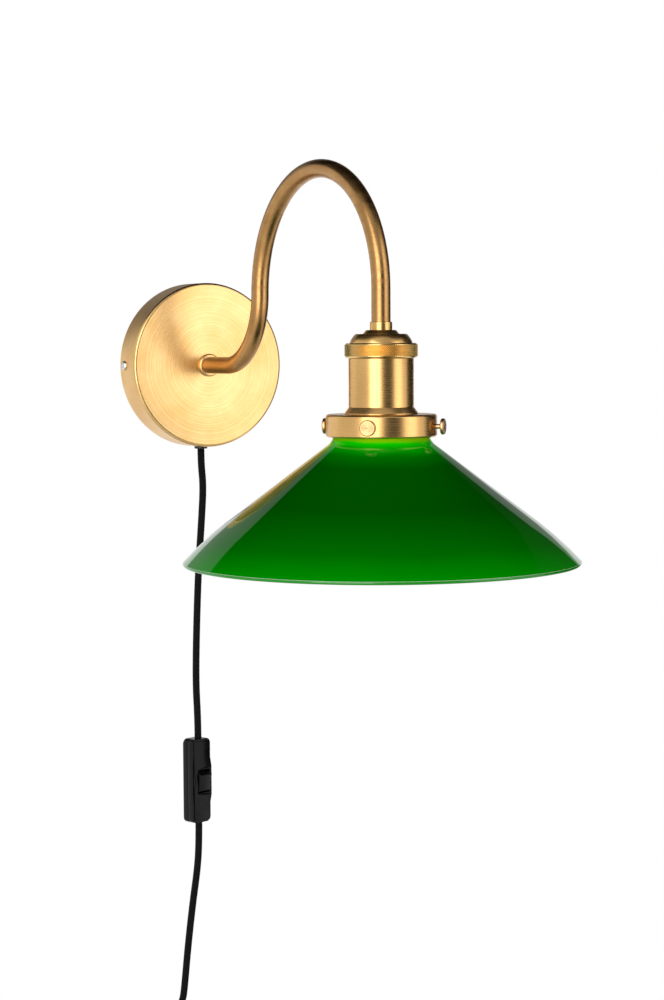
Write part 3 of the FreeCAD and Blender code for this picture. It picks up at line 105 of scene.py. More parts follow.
def new_material(name, **settings):
    """A material with one Principled shader; settings are its constant sockets."""
    material = bpy.data.materials.new(name)
    material.use_nodes = True
    shader = material.node_tree.nodes["Principled BSDF"]
    for socket, value in settings.items():
        shader.inputs[socket.replace("_", " ")].default_value = value
    return material, shader


def link(material, source, target):
    material.node_tree.links.new(source, target)


print("the canopy's brass in linear light:", [round(c, 3) for c in hex_colour("#EDC98E")[:3]])

# %% [markdown]
# ## Brass
# The metal is yellow brass, brushed and left to age under a thin lacquer. Brass is a bare metal
# to the eye: no colour of its own but what it lends to its reflections, so metallic is 1 and the
# base colour carries the yellow. Brushing leaves fine grooves that run round a turned piece. A
# noise that is drawn along one direction only, by feeding it a single distance, gives them. Real
# grooves are about 0.1 mm wide, too fine to show here, so they are drawn 0.5 to 0.9 mm wide. The
# tube and the knurled ring aren't brushed, and there a coarser noise only varies the gloss.
# Slow, wide noise on top stands for the uneven tarnish.

# %% Brass
GROOVE_SHARE = 0.25
TINT_LOW, TINT_HIGH = 0.28, 0.72


def brushed_brass(name, light, dark, roughness, groove_mm, depth, centre=(0, 0, 0), across="Z",
                  tarnish_mm=28.0, spread=0.10):
    """Grooves follow circles: across is Z for bands up a turned piece, Y for rings on a disc.

    Roughness varies by spread from groove to groove; depth is the grooves' depth in mm.
    """
    material, shader = new_material(name, Metallic=1.0)
    place = add_node(material, "ShaderNodeTexCoord")
    shift = add_node(material, "ShaderNodeMapping", {"Location": [-c for c in centre]},
                     {"Vector": place.outputs["Object"]})
    parts = add_node(material, "ShaderNodeSeparateXYZ", links={0: shift.outputs[0]})
    if across == "Z":
        distance = parts.outputs["Z"]
    else:
        flat = add_node(material, "ShaderNodeCombineXYZ",
                        links={"X": parts.outputs["X"], "Z": parts.outputs["Z"]})
        distance = add_node(material, "ShaderNodeVectorMath", links={0: flat.outputs[0]},
                            operation="LENGTH").outputs["Value"]
    grooves = add_node(material, "ShaderNodeTexNoise",
                       {"Scale": 1 / (groove_mm * MM), "Detail": 3.0, "Roughness": 0.65},
                       {"W": distance}, noise_dimensions="1D")
    tarnish = add_node(material, "ShaderNodeTexNoise",
                       {"Scale": 1 / (tarnish_mm * MM), "Detail": 4.0, "Roughness": 0.55},
                       {"Vector": shift.outputs[0]})
    streaks = add_node(material, "ShaderNodeMath", {1: GROOVE_SHARE}, {0: grooves.outputs["Fac"]},
                       operation="MULTIPLY")
    both = add_node(material, "ShaderNodeMath", {1: 1 - GROOVE_SHARE},
                    {0: tarnish.outputs["Fac"], 2: streaks.outputs[0]}, operation="MULTIPLY_ADD")
    tint = add_node(material, "ShaderNodeMapRange", {"From Min": TINT_LOW, "From Max": TINT_HIGH},
                    {"Value": both.outputs[0]})
    colour = add_node(material, "ShaderNodeMix", {6: hex_colour(light), 7: hex_colour(dark)},
                      {0: tint.outputs[0]}, data_type="RGBA")
    link(material, colour.outputs[2], shader.inputs["Base Color"])
    rough = add_node(material, "ShaderNodeMapRange",
                     {"From Min": 0.3, "From Max": 0.7, "To Min": roughness - spread / 2,
                      "To Max": roughness + spread / 2}, {"Value": grooves.outputs["Fac"]})
    link(material, rough.outputs[0], shader.inputs["Roughness"])
    bump = add_node(material, "ShaderNodeBump", {"Strength": 1.0, "Distance": depth * MM},
                    {"Height": grooves.outputs["Fac"]})
    link(material, bump.outputs[0], shader.inputs["Normal"])
    return material


lamp_centre = (0, LAMP_Y, 0)
canopy_brass = brushed_brass("spun_brass_canopy", "#EDC98E", "#D4A562", 0.30, 0.9, 0.007, across="Y")
arm_brass = brushed_brass("drawn_brass_tube", "#BF935E", "#A37A48", 0.32, 4.0, 0.0, tarnish_mm=16.0)
holder_brass = brushed_brass("turned_brass_lampholder", "#E6BA76", "#CC9E62", 0.27, 0.7, 0.002,
                             centre=lamp_centre, spread=0.05)
knurl_brass = brushed_brass("knurled_brass", "#F4D090", "#D6AC68", 0.22, 2.0, 0.0, centre=lamp_centre)
screw_brass = brushed_brass("turned_brass_screw", "#D9B384", "#BE9260", 0.30, 0.5, 0.004,
                            centre=lamp_centre)
print("brass finishes:", len([m for m in bpy.data.materials if "brass" in m.name]))

# %% [markdown]
# ## Cased glass
# The shade is blown glass of two layers: clear green outside, opal white inside. Its colour is a
# ramp by height: the lime band just under the gallery is a painted glow, light that shines through
# the neck, and below it the colour runs through bottle green on the cone to a lighter green at
# the rim. Opal glass behind it stops any view through, so an opaque shader with the index of
# glass, 1.52, and a fire-polished gloss stands for the pair.

# %% Glass
NECK_HEIGHT, RIM_HEIGHT = -40 * MM, -125 * MM
SWIRL_DEPTH = 6 * MM


def green_glass():
    material, shader = new_material("cased_green_glass", Roughness=0.04, IOR=1.52)
    place = add_node(material, "ShaderNodeTexCoord")
    parts = add_node(material, "ShaderNodeSeparateXYZ", links={0: place.outputs["Object"]})
    swirl = add_node(material, "ShaderNodeTexNoise", {"Scale": 1 / (60 * MM), "Detail": 2.0},
                     {"Vector": place.outputs["Object"]})
    height = add_node(material, "ShaderNodeMath", {1: SWIRL_DEPTH},
                      {0: swirl.outputs["Fac"], 2: parts.outputs["Z"]}, operation="MULTIPLY_ADD")
    down = add_node(material, "ShaderNodeMapRange",
                    {"From Min": NECK_HEIGHT, "From Max": RIM_HEIGHT}, {"Value": height.outputs[0]})
    ramp = add_node(material, "ShaderNodeValToRGB", links={0: down.outputs[0]})
    # The first stops are a painted glow: lime under the gallery, where light shines through the neck.
    # Below it the ramp runs from bottle green to a lighter green at the rim.
    glow_and_green_stops = [(0.0, "#D8FF00"), (0.045, "#0AD000"), (0.085, "#009C00"), (0.14, "#006A00"),
             (0.22, "#004E00"), (0.50, "#004C00"), (0.78, "#006600"), (1.0, "#008E00")]
    while len(ramp.color_ramp.elements) < len(glow_and_green_stops):
        ramp.color_ramp.elements.new(0.5)
    for element, (where, code) in zip(ramp.color_ramp.elements, glow_and_green_stops):
        element.position = where
        element.color = hex_colour(code)
    link(material, ramp.outputs["Color"], shader.inputs["Base Color"])
    return material


def opal_glass(name, code, roughness):
    material, shader = new_material(name, Roughness=roughness, IOR=1.50, Subsurface_Weight=0.25,
                                    Subsurface_Scale=0.004)
    place = add_node(material, "ShaderNodeTexCoord")
    cloud = add_node(material, "ShaderNodeTexNoise", {"Scale": 1 / (25 * MM), "Detail": 2.0},
                     {"Vector": place.outputs["Object"]})
    colour = add_node(material, "ShaderNodeMix", {6: hex_colour(code), 7: hex_colour("#F2EFE6")},
                      {0: cloud.outputs["Fac"]}, data_type="RGBA")
    link(material, colour.outputs[2], shader.inputs["Base Color"])
    return material


shade_green = green_glass()
shade_opal = opal_glass("opal_glass_lining", "#F7F5EE", 0.12)
bulb_opal = opal_glass("satin_opal_bulb", "#F5F2E8", 0.32)
print("glass finishes: cased green, opal lining, satin bulb")

# %% [markdown]
# ## Plastics, steel and porcelain
# The switch is gloss black urea, the plug and the cord's bush are satin black PVC, and small parts
# inside are plated steel, brass, phenolic and glazed porcelain. Moulded plastic keeps a faint
# orange-peel from its mould, a low bump about 0.8 mm across, and plating is as faintly uneven.

# %% Plastics and small metals


def moulded(name, code, roughness, peel_mm, depth, **settings):
    material, shader = new_material(name, IOR=1.50, **settings)
    place = add_node(material, "ShaderNodeTexCoord")
    peel = add_node(material, "ShaderNodeTexNoise", {"Scale": 1 / (peel_mm * MM), "Detail": 2.0},
                    {"Vector": place.outputs["Object"]})
    wear = add_node(material, "ShaderNodeTexNoise", {"Scale": 1 / (9 * MM), "Detail": 3.0},
                    {"Vector": place.outputs["Object"]})
    base = hex_colour(code)
    paler = [min(c * 1.35 + 0.002, 1.0) for c in base[:3]] + [1.0]
    colour = add_node(material, "ShaderNodeMix", {6: base, 7: paler}, {0: wear.outputs["Fac"]},
                      data_type="RGBA")
    link(material, colour.outputs[2], shader.inputs["Base Color"])
    rough = add_node(material, "ShaderNodeMapRange",
                     {"From Min": 0.3, "From Max": 0.7, "To Min": roughness * 0.85,
                      "To Max": roughness * 1.2}, {"Value": wear.outputs["Fac"]})
    link(material, rough.outputs[0], shader.inputs["Roughness"])
    bump = add_node(material, "ShaderNodeBump", {"Strength": 1.0, "Distance": depth * MM},
                    {"Height": peel.outputs["Fac"]})
    link(material, bump.outputs[0], shader.inputs["Normal"])
    return material


gloss_black = moulded("gloss_black_urea", "#060505", 0.20, 0.9, 0.003, Specular_IOR_Level=0.2)
satin_black = moulded("satin_black_pvc", "#111112", 0.42, 0.6, 0.01)
phenolic_brown = moulded("phenolic_brown", "#1D1714", 0.35, 0.8, 0.005)
porcelain_white = moulded("glazed_porcelain", "#E9E6DD", 0.12, 2.0, 0.004)
ivory_polyamide = moulded("ivory_polyamide", "#DED8C8", 0.40, 0.7, 0.008)
core_sleeve = moulded("brown_wire_sleeve", "#6B4630", 0.40, 0.8, 0.004)
plated_steel = moulded("nickel_plated_steel", "#C9C7C2", 0.24, 0.7, 0.004, Metallic=1.0)
zinc_steel = moulded("zinc_plated_steel", "#A9ABAD", 0.38, 1.1, 0.006, Metallic=1.0)
bare_brass = moulded("stamped_contact_brass", "#C9A45C", 0.30, 1.0, 0.004, Metallic=1.0)
moulded_finishes = (gloss_black, satin_black, phenolic_brown, porcelain_white, ivory_polyamide,
                    core_sleeve, plated_steel, zinc_steel, bare_brass)
print("moulded and plated finishes:", len(moulded_finishes))

# %% [markdown]
# ## Textile braid
# The cord wears a braided sleeve of black rayon: two families of yarns that wind round it in
# opposite ways and cross in small diamonds 1.7 mm long. The pattern follows the cord, so it
# is drawn on the curve's own map, where U runs along the cord and V round it. The number of
# diamonds along the cord comes from its length.

# %% Braid
CORD_DIAMETER = 5.2 * MM
DIAMOND_LENGTH = 1.7 * MM
DIAMONDS_AROUND = 8


def braid(name, length):
    material, shader = new_material(name, IOR=1.45, Roughness=0.65, Specular_IOR_Level=0.15,
                                    Sheen_Weight=0.05, Sheen_Roughness=0.4,
                                    Sheen_Tint=hex_colour("#8A8680"))
    place = add_node(material, "ShaderNodeTexCoord")
    parts = add_node(material, "ShaderNodeSeparateXYZ", links={0: place.outputs["UV"]})
    along = add_node(material, "ShaderNodeMath", {1: math.pi * length / DIAMOND_LENGTH},
                     {0: parts.outputs["X"]}, operation="MULTIPLY")
    around = add_node(material, "ShaderNodeMath", {1: math.pi * DIAMONDS_AROUND},
                      {0: parts.outputs["Y"]}, operation="MULTIPLY")
    waves = []
    for operation in ("ADD", "SUBTRACT"):
        angle = add_node(material, "ShaderNodeMath", links={0: along.outputs[0], 1: around.outputs[0]},
                         operation=operation)
        sine = add_node(material, "ShaderNodeMath", links={0: angle.outputs[0]}, operation="SINE")
        waves.append(add_node(material, "ShaderNodeMath", links={0: sine.outputs[0]},
                              operation="ABSOLUTE"))
    height = add_node(material, "ShaderNodeMath",
                      links={0: waves[0].outputs[0], 1: waves[1].outputs[0]}, operation="MULTIPLY")
    # The crowns of the yarns are painted lighter and the gaps between them darker: a painted highlight on
    # the crowns, painted shade in the gaps.
    base = hex_colour("#020202")
    lit = [c * 3 + 0.0006 for c in base[:3]] + [1.0]
    colour = add_node(material, "ShaderNodeMix", {6: base, 7: lit}, {0: height.outputs[0]},
                      data_type="RGBA")
    link(material, colour.outputs[2], shader.inputs["Base Color"])
    bump = add_node(material, "ShaderNodeBump", {"Strength": 0.8, "Distance": 0.35 * MM},
                    {"Height": height.outputs[0]})
    link(material, bump.outputs[0], shader.inputs["Normal"])
    return material


print("braid diamonds per metre:", round(1 / DIAMOND_LENGTH))

# %% [markdown]
# ## The free cord
# The cord leaves a bush under the canopy, hangs beside the wall to the switch and goes on down
# to a small coil that holds the spare length, with the plug under it. The whole cord is 1.8 m, a
# usual length for such a lamp, and the part in view is short. A smooth NURBS curve of third order
# runs near the listed points, as a real cord does, so it never shows a corner.
# The coil is 7 turns in four layers. Its turns are points of the same curve, twelve for each
# turn. Such a curve cuts inside its points, to 0.966 of their radius, so they stand a little
# farther out than the coil's own middle line. All points here are in millimetres.

# %% Cord routes and the coil's points
UPPER_ROUTE = [(0.0, -9.5, -61.65), (0.0, -9.5, -73.0), (1.7, -9.4, -89.0), (0.2, -9.3, -113.0),
               (-2.9, -9.2, -151.0), (-5.0, -9.2, -196.0), (-6.1, -9.3, -236.0),
               (-4.8, -9.5, -263.0), (-4.8, -9.5, -278.0)]
LOWER_ROUTE = [(-4.8, -9.5, -341.0), (-4.8, -9.5, -353.0), (-5.9, -9.4, -374.0),
               (-10.4, -9.2, -402.0), (-14.6, -8.6, -436.0), (-17.0, -7.8, -463.0),
               (-18.6, -7.2, -477.0), (-27.0, -6.5, -489.5), (-39.5, -6.0, -499.5),
               (-45.375, -5.8, -511.0)]
COIL_CENTRE = (-11.0, -5.8, -529.0)
COIL_RADIUS = 29.3
COIL_PITCH = 5.8
COIL_LAYERS = 4
TURNS_PER_LAYER = 7 / COIL_LAYERS
COIL_OUTER = COIL_RADIUS + COIL_PITCH * TURNS_PER_LAYER / 2
LAYER_TURN = TURNS_PER_LAYER * 2 * math.pi
POINTS_PER_TURN = 12
CURVE_CUT = 0.966
PLUG_DROP = 5.2


def coil_point(angle):
    """One layer spirals in and the next out, each of them one pitch in front of the last."""
    layer = min(int(angle / LAYER_TURN), COIL_LAYERS - 1)
    within = angle - layer * LAYER_TURN
    inward = within if layer % 2 == 0 else LAYER_TURN - within
    radius = (COIL_OUTER - COIL_PITCH * inward / (2 * math.pi)) / CURVE_CUT
    depth = float(layer)
    to_next = LAYER_TURN - within
    if to_next < math.pi / 2 and layer < COIL_LAYERS - 1:
        depth = layer + 0.5 - to_next / math.pi
    elif within < math.pi / 2 and layer > 0:
        depth = layer - 0.5 + within / math.pi
    turn = math.pi + angle
    return (radius * math.cos(turn) + COIL_CENTRE[0], COIL_CENTRE[1] - depth * COIL_PITCH,
            radius * math.sin(turn) + COIL_CENTRE[2])


step = 2 * math.pi / POINTS_PER_TURN
coil_turns = COIL_LAYERS * TURNS_PER_LAYER
coil_points = [coil_point((k + 0.5) * step) for k in range(round(coil_turns * POINTS_PER_TURN))]
plug_top = (COIL_CENTRE[0] - COIL_OUTER, COIL_CENTRE[1] - (COIL_LAYERS - 1) * COIL_PITCH,
            COIL_CENTRE[2] - PLUG_DROP)
print("coil turns:", coil_turns, "control points:", len(coil_points))

# %% [markdown]
# ## From points to cords
# A curve with a round bevel is the right thing for a cord: it stays one open line, and its own map
# carries the braid along it. There are two, because the switch sits between them. Their lengths
# are in metres.

# %% Cords
UPPER_LENGTH = 0.2166
LOWER_LENGTH = 1.493


def cord_curve(name, points, length):
    data = bpy.data.curves.new(name, "CURVE")
    data.dimensions = "3D"
    spline = data.splines.new("NURBS")
    spline.points.add(len(points) - 1)
    for point, place in zip(spline.points, points):
        point.co = (*[value * MM for value in place], 1.0)
    spline.order_u = 3
    spline.use_endpoint_u = True
    spline.resolution_u = 6
    data.bevel_depth = CORD_DIAMETER / 2
    data.bevel_resolution = 5
    data.use_fill_caps = True
    piece = bpy.data.objects.new(name, data)
    bpy.context.scene.collection.objects.link(piece)
    data.materials.append(braid(name + "_braid", length))
    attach(piece, "fixture")
    return piece


cord_top = cord_curve("cord_to_switch", UPPER_ROUTE, UPPER_LENGTH)
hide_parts("cord_upper")
cord_low = cord_curve("cord_to_plug", LOWER_ROUTE + coil_points + [plug_top], LOWER_LENGTH)
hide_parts("cord_lower", "cord_coil")
print("cords:", cord_top.name, cord_low.name)

# %% [markdown]
# ## Turning on a lathe
# Most of this lamp is turned or spun, so most of it is one method. A circle is added, and its
# ring of edges is extruded and resized from corner to corner of the piece's outline, just as a
# lathe tool is moved along it. The corners are then rounded by bevelling their rings, with the
# width that gives the wanted radius. Spinning an outline would do the same, but a ring at a time
# keeps every corner at hand for its bevel.

# %% Rings of edges
RING_REACH = 2e-6


def deselect_all():
    bpy.ops.object.select_all(action="DESELECT")


def select_nothing(mesh):
    for group in (mesh.verts, mesh.edges, mesh.faces):
        for item in group:
            item.select = False


def pick_ring(piece, radius, height):
    """In edit mode, select the ring of edges at this radius and height."""
    mesh = bmesh.from_edit_mesh(piece.data)
    ring = {v for v in mesh.verts if abs(v.co.z - height) < RING_REACH
            and abs(math.hypot(v.co.x, v.co.y) - radius) < RING_REACH}
    select_nothing(mesh)
    for edge in mesh.edges:
        if edge.verts[0] in ring and edge.verts[1] in ring:
            edge.select_set(True)
    bmesh.update_edit_mesh(piece.data)


def extrude_ring(from_radius, from_height, radius, height):
    bpy.ops.mesh.extrude_region_move(TRANSFORM_OT_translate={"value": (0, 0, height - from_height)})
    if radius == 0:
        bpy.ops.mesh.merge(type="CENTER")
        return
    factor = radius / from_radius
    bpy.ops.transform.resize(value=(factor, factor, 1), center_override=(0, 0, height))


def finish_mesh(piece, smooth_angle=32):
    """Merge doubles, point the faces outwards and smooth all but the sharp edges."""
    bpy.ops.object.mode_set(mode="EDIT")
    bpy.ops.mesh.select_all(action="SELECT")
    bpy.ops.mesh.remove_doubles(threshold=1e-7)
    bpy.ops.mesh.normals_make_consistent(inside=False)
    bpy.ops.object.mode_set(mode="OBJECT")
    bpy.ops.object.shade_smooth_by_angle(angle=math.radians(smooth_angle))


print("a ring of edges is found to within", RING_REACH, "m")

# %% [markdown]
# ## The lathe itself
# An outline is a list of corners: the radius, the height and, where the corner is rounded, the
# radius of its rounding. A solid piece starts and ends on the axis, at radius 0. A ring or a shell
# is closed instead: its last corner is joined to its first. The bevel's width is measured along
# the two sides of a corner, so it is the wanted radius times the tangent of half the turn.

# %% Lathe
DEGREES_PER_FACET = 7


def lathe(name, outline, sides=96, closed=False, smooth_angle=32):
    """Turn (radius, height, rounding) corners, in mm, about the Z axis through the origin."""
    corners = [(item[0] * MM, item[1] * MM, (item[2] if len(item) > 2 else 0) * MM)
               for item in outline]
    solid = [corner for corner in corners if corner[0] > 0]
    deselect_all()
    bpy.ops.mesh.primitive_circle_add(vertices=sides, radius=solid[0][0], location=(0, 0, solid[0][1]))
    piece = bpy.context.object
    piece.name = name
    bpy.ops.object.transform_apply(location=True)
    bpy.ops.object.mode_set(mode="EDIT")
    bpy.ops.mesh.select_mode(type="EDGE")
    bpy.ops.mesh.select_all(action="SELECT")
    for before, after in zip(solid, solid[1:]):
        extrude_ring(before[0], before[1], after[0], after[1])
    if corners[-1][0] == 0:
        extrude_ring(solid[-1][0], solid[-1][1], 0, corners[-1][1])
    if corners[0][0] == 0:
        pick_ring(piece, solid[0][0], solid[0][1])
        extrude_ring(solid[0][0], solid[0][1], 0, corners[0][1])
    if closed:
        pick_ring(piece, solid[0][0], solid[0][1])
        extrude_ring(solid[0][0], solid[0][1], solid[-1][0], solid[-1][1])
        bpy.ops.mesh.select_all(action="SELECT")
        bpy.ops.mesh.remove_doubles(threshold=1e-6)
    count = len(corners)
    for index, (radius, height, rounding) in enumerate(corners):
        if rounding == 0:
            continue
        before, after = corners[index - 1], corners[(index + 1) % count]
        way_in = math.atan2(height - before[1], radius - before[0])
        way_out = math.atan2(after[1] - height, after[0] - radius)
        turn = abs((way_out - way_in + math.pi) % (2 * math.pi) - math.pi)
        pick_ring(piece, radius, height)
        bpy.ops.mesh.bevel(offset_type="OFFSET", offset=rounding * math.tan(turn / 2),
                           segments=max(3, round(math.degrees(turn) / DEGREES_PER_FACET)),
                           profile=0.5, affect="EDGES", clamp_overlap=False)
    bpy.ops.object.mode_set(mode="OBJECT")
    finish_mesh(piece, smooth_angle)
    return piece


print("roundings get a facet for every", DEGREES_PER_FACET, "degrees")

# %% [markdown]
# ## From the lathe to the lamp
# Every piece is turned about the Z axis through the origin and then carried to its place. Its
# place and turn are written into its mesh, so the object itself stays at the origin, as the
# measured solids do. Then it gets its finish and the body it moves with, and it takes the place
# of the plain solid that it stands for.

# %% Placing and handing over


def settle(piece, location=(0, 0, 0), turn=(0, 0, 0)):
    """Move and turn a piece, then write its place into its mesh."""
    deselect_all()
    piece.select_set(True)
    bpy.context.view_layer.objects.active = piece
    piece.location = location
    piece.rotation_euler = turn
    bpy.ops.object.transform_apply(location=True, rotation=True, scale=True)
    return piece


def on_lamp(piece):
    return settle(piece, location=(0, LAMP_Y, 0))


def on_wall(piece):
    """Heights on the lathe become distances from the wall."""
    return settle(piece, turn=(math.radians(90), 0, 0))


def hand_over(piece, material, body, slot_name, *nodes):
    """Give a finished piece its material and its body, and hide the nodes it stands for; slot_name is not
    used.
    """
    if not piece.data.materials:
        piece.data.materials.append(material)
    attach(piece, body)
    if nodes:
        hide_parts(*nodes)
    triangles = sum(len(face.vertices) - 2 for face in piece.data.polygons)
    print(f"{piece.name}: {triangles} triangles")
    return piece


print("pieces on the lamp's axis go to y", LAMP_Y, "m")

# %% [markdown]
# ## The canopy and the collar
# The canopy is a cup 120 mm across, spun from brass sheet over a former: a flat face, a small
# rounded edge and a straight rim 24 mm deep, open at the back. The collar is a turned ring that
# closes the gap where the tube comes out.

# %% Canopy and collar
CANOPY_RADIUS = 60
CANOPY_DEPTH = 24
SHEET = 1.5
NIPPLE_HOLE = 5.1
COLLAR_RADIUS = 8.35
COLLAR_FRONT = 26.5
inner_radius = CANOPY_RADIUS - SHEET
inner_depth = CANOPY_DEPTH - SHEET
canopy = on_wall(lathe("canopy_cup", [
    (NIPPLE_HOLE, inner_depth), (inner_radius - 0.7, inner_depth), (inner_radius, inner_depth - 0.7),
    (inner_radius, 0), (CANOPY_RADIUS, 0), (CANOPY_RADIUS, CANOPY_DEPTH, 2.2),
    (NIPPLE_HOLE, CANOPY_DEPTH)], sides=160, closed=True))
hand_over(canopy, canopy_brass, "fixture", "brushed_brass", "canopy")
collar = on_wall(lathe("arm_collar_ring", [
    (NIPPLE_HOLE, CANOPY_DEPTH), (COLLAR_RADIUS, CANOPY_DEPTH), (COLLAR_RADIUS, COLLAR_FRONT, 1.4),
    (NIPPLE_HOLE, COLLAR_FRONT)], sides=64, closed=True))
hand_over(collar, canopy_brass, "fixture", "brushed_brass", "arm_collar")

# %% [markdown]
# ## The gooseneck
# A brass tube 12.2 mm across leaves the wall, bends up with a radius of 50 mm and comes over in a
# half circle of 81 mm. On a bench it is drawn round two formers. Here a circle is extruded for
# the straight runs and spun about each former's centre for the bends.

# %% Arm
TUBE_RADIUS = 6.1 * MM
ARM_START = COLLAR_FRONT * MM
FIRST_RUN = 27.5 * MM
BEND = 50 * MM
ARCH = 81 * MM
HOLDER_TOP = 23.45
deselect_all()
bpy.ops.mesh.primitive_circle_add(vertices=48, radius=TUBE_RADIUS, fill_type="NGON",
                                  location=(0, -ARM_START, 0), rotation=(math.radians(90), 0, 0))
arm = bpy.context.object
arm.name = "gooseneck_tube"
bpy.ops.object.transform_apply(location=True, rotation=True)
bpy.ops.object.mode_set(mode="EDIT")
bpy.ops.mesh.select_all(action="SELECT")
bpy.ops.mesh.extrude_region_move(TRANSFORM_OT_translate={"value": (0, -FIRST_RUN, 0)})
upright_y = -(ARM_START + FIRST_RUN + BEND)
bpy.ops.mesh.spin(steps=24, angle=math.radians(90), center=(0, -ARM_START - FIRST_RUN, BEND),
                  axis=(1, 0, 0))
bpy.ops.mesh.spin(steps=60, angle=math.radians(-180), center=(0, upright_y - ARCH, BEND),
                  axis=(1, 0, 0))
bpy.ops.mesh.extrude_region_move(TRANSFORM_OT_translate={"value": (0, 0, HOLDER_TOP * MM - BEND)})
bpy.ops.object.mode_set(mode="OBJECT")
finish_mesh(arm)
print("arm box:", [[round(v / MM, 1) for v in corner] for corner in (arm.bound_box[0], arm.bound_box[6])])
hand_over(arm, arm_brass, "fixture", "brushed_brass", "gooseneck_arm")

# %% [markdown]
# ## The lampholder
# Three turned pieces and a ring stand on one axis. The ferrule takes the tube's end, the cap has
# a flat boss and a dome, and the body is a straight barrel on a small cone. All are thin
# brass, so each outline goes up the outside and comes back down the inside.

# %% Ferrule, cap and body
FERRULE_BORE, FERRULE_RADIUS = 6.15, 7.15
FERRULE_TOP = 28.65
HOLDER_FOOT = -29.8
BARREL_RADIUS = 20.8
ferrule = on_lamp(lathe("holder_ferrule_ring", [
    (FERRULE_BORE, HOLDER_TOP), (FERRULE_RADIUS, HOLDER_TOP), (FERRULE_RADIUS, FERRULE_TOP, 0.5),
    (FERRULE_BORE, FERRULE_TOP)], sides=64, closed=True))
hand_over(ferrule, holder_brass, "fixture", "brushed_brass", "holder_ferrule")
cap = on_lamp(lathe("holder_cap_dome", [
    (18.1, 8.3), (19.6, 8.3), (19.6, 15.3), (20.1, 15.3), (18.92, 18.63, 12.4), (16.3, 21.0, 0.9),
    (11.6, 21.0, 0.5), (9.6, HOLDER_TOP, 0.5), (NIPPLE_HOLE, HOLDER_TOP), (NIPPLE_HOLE, 19.5),
    (14.8, 19.5, 2), (18.1, 15.3)], sides=128, closed=True))
hand_over(cap, holder_brass, "fixture", "brushed_brass", "lampholder_cap")
body = on_lamp(lathe("holder_body_barrel", [
    (19.3, HOLDER_FOOT), (23.5, HOLDER_FOOT, 0.25), (23.5, HOLDER_FOOT + 0.6, 0.3),
    (BARREL_RADIUS, -25.4), (BARREL_RADIUS - 0.35, -25.4), (BARREL_RADIUS - 0.35, -25.05),
    (BARREL_RADIUS, -25.05), (BARREL_RADIUS, 5.7, 0.4), (17.9, 5.7), (17.9, 10.6), (16.4, 10.6),
    (16.4, 4.2), (19.3, 4.2)], sides=128, closed=True))
hand_over(body, holder_brass, "fixture", "brushed_brass", "lampholder_body")

# %% [markdown]
# ## The knurled ring
# A knurling wheel presses a lattice of small pyramids into the ring, 1.3 mm apart. A
# cylinder of square cells gives the lattice: poking every face puts a point in its middle, taking
# away the old edges leaves diamonds, and poking these with a small lift raises the pyramids.

# %% Knurled ring
KNURLS = 114
ROWS = 6
RING_LOW, RING_HIGH = 5.85, 15.15
RING_BORE, RING_EDGE, BAND = 19.75, 22.3, 22.85
RING_CHAMFER = 0.8
PYRAMID = 0.58 * MM
band_height = RING_HIGH - RING_LOW - 2 * RING_CHAMFER
ring_rows = [(BAND, RING_LOW + RING_CHAMFER + band_height * k / ROWS) for k in range(ROWS + 1)]
ring = lathe("knurled_ring_band", [(RING_BORE, RING_LOW), (RING_EDGE, RING_LOW)] + ring_rows
             + [(RING_EDGE, RING_HIGH), (RING_BORE, RING_HIGH)], sides=KNURLS, closed=True)
bpy.ops.object.mode_set(mode="EDIT")
bpy.ops.mesh.select_mode(type="FACE")


def pick_faces(piece, test):
    mesh = bmesh.from_edit_mesh(piece.data)
    select_nothing(mesh)
    for face in mesh.faces:
        if test(face):
            face.select_set(True)
    bmesh.update_edit_mesh(piece.data)


def on_band(face):
    flat = all(abs(math.hypot(v.co.x, v.co.y) - BAND * MM) < 0.03 * MM for v in face.verts)
    return flat and abs(face.normal.z) < 0.3


def between_rows(edge):
    """An old edge of the lattice: level, or upright, with a poked face on both sides."""
    start, end = edge.verts[0].co, edge.verts[1].co
    level = abs(start.z - end.z) < 1e-6
    upright = math.hypot(start.x - end.x, start.y - end.y) < 1e-6
    return (level or upright) and all(len(face.verts) == 3 for face in edge.link_faces)


pick_faces(ring, on_band)
bpy.ops.mesh.poke()
bpy.ops.mesh.select_mode(type="EDGE")
lattice = bmesh.from_edit_mesh(ring.data)
select_nothing(lattice)
for lattice_edge in lattice.edges:
    if len(lattice_edge.link_faces) == 2 and between_rows(lattice_edge):
        lattice_edge.select_set(True)
bmesh.update_edit_mesh(ring.data)
bpy.ops.mesh.dissolve_edges(use_verts=False)
bpy.ops.mesh.select_mode(type="FACE")
pick_faces(ring, lambda face: len(face.verts) == 4 and on_band(face))
bpy.ops.mesh.poke(offset=PYRAMID)
bpy.ops.object.mode_set(mode="OBJECT")
finish_mesh(ring, smooth_angle=12)
on_lamp(ring)
hand_over(ring, knurl_brass, "ring", "brushed_brass", "knurled_ring")

# %% [markdown]
# ## The gallery and its thumb screws
# The gallery is a shallow brass cup, open downwards, with four screws through its wall that grip
# the neck of the glass under its lip. Each has a plain stem and a low round head, faced on a lathe:
# fine rings and a centre mark stay on it. One screw is modelled and copied round the axis.

# %% Gallery and screws
GALLERY_BORE, GALLERY_RADIUS = 19.1, 35.5
GALLERY_FOOT = -44.2
gallery_inside = GALLERY_RADIUS - SHEET
gallery_roof = HOLDER_FOOT - SHEET
gallery = on_lamp(lathe("shade_gallery_cup", [
    (GALLERY_BORE, gallery_roof), (gallery_inside - 0.3, gallery_roof, 0.3),
    (gallery_inside, gallery_roof - 0.5), (gallery_inside, GALLERY_FOOT),
    (GALLERY_RADIUS - 1, GALLERY_FOOT, 0.15), (GALLERY_RADIUS, GALLERY_FOOT + 1, 0.4),
    (GALLERY_RADIUS, HOLDER_FOOT, 1.8), (GALLERY_BORE, HOLDER_FOOT)], sides=160, closed=True))
hand_over(gallery, holder_brass, "fixture", "brushed_brass", "shade_gallery")

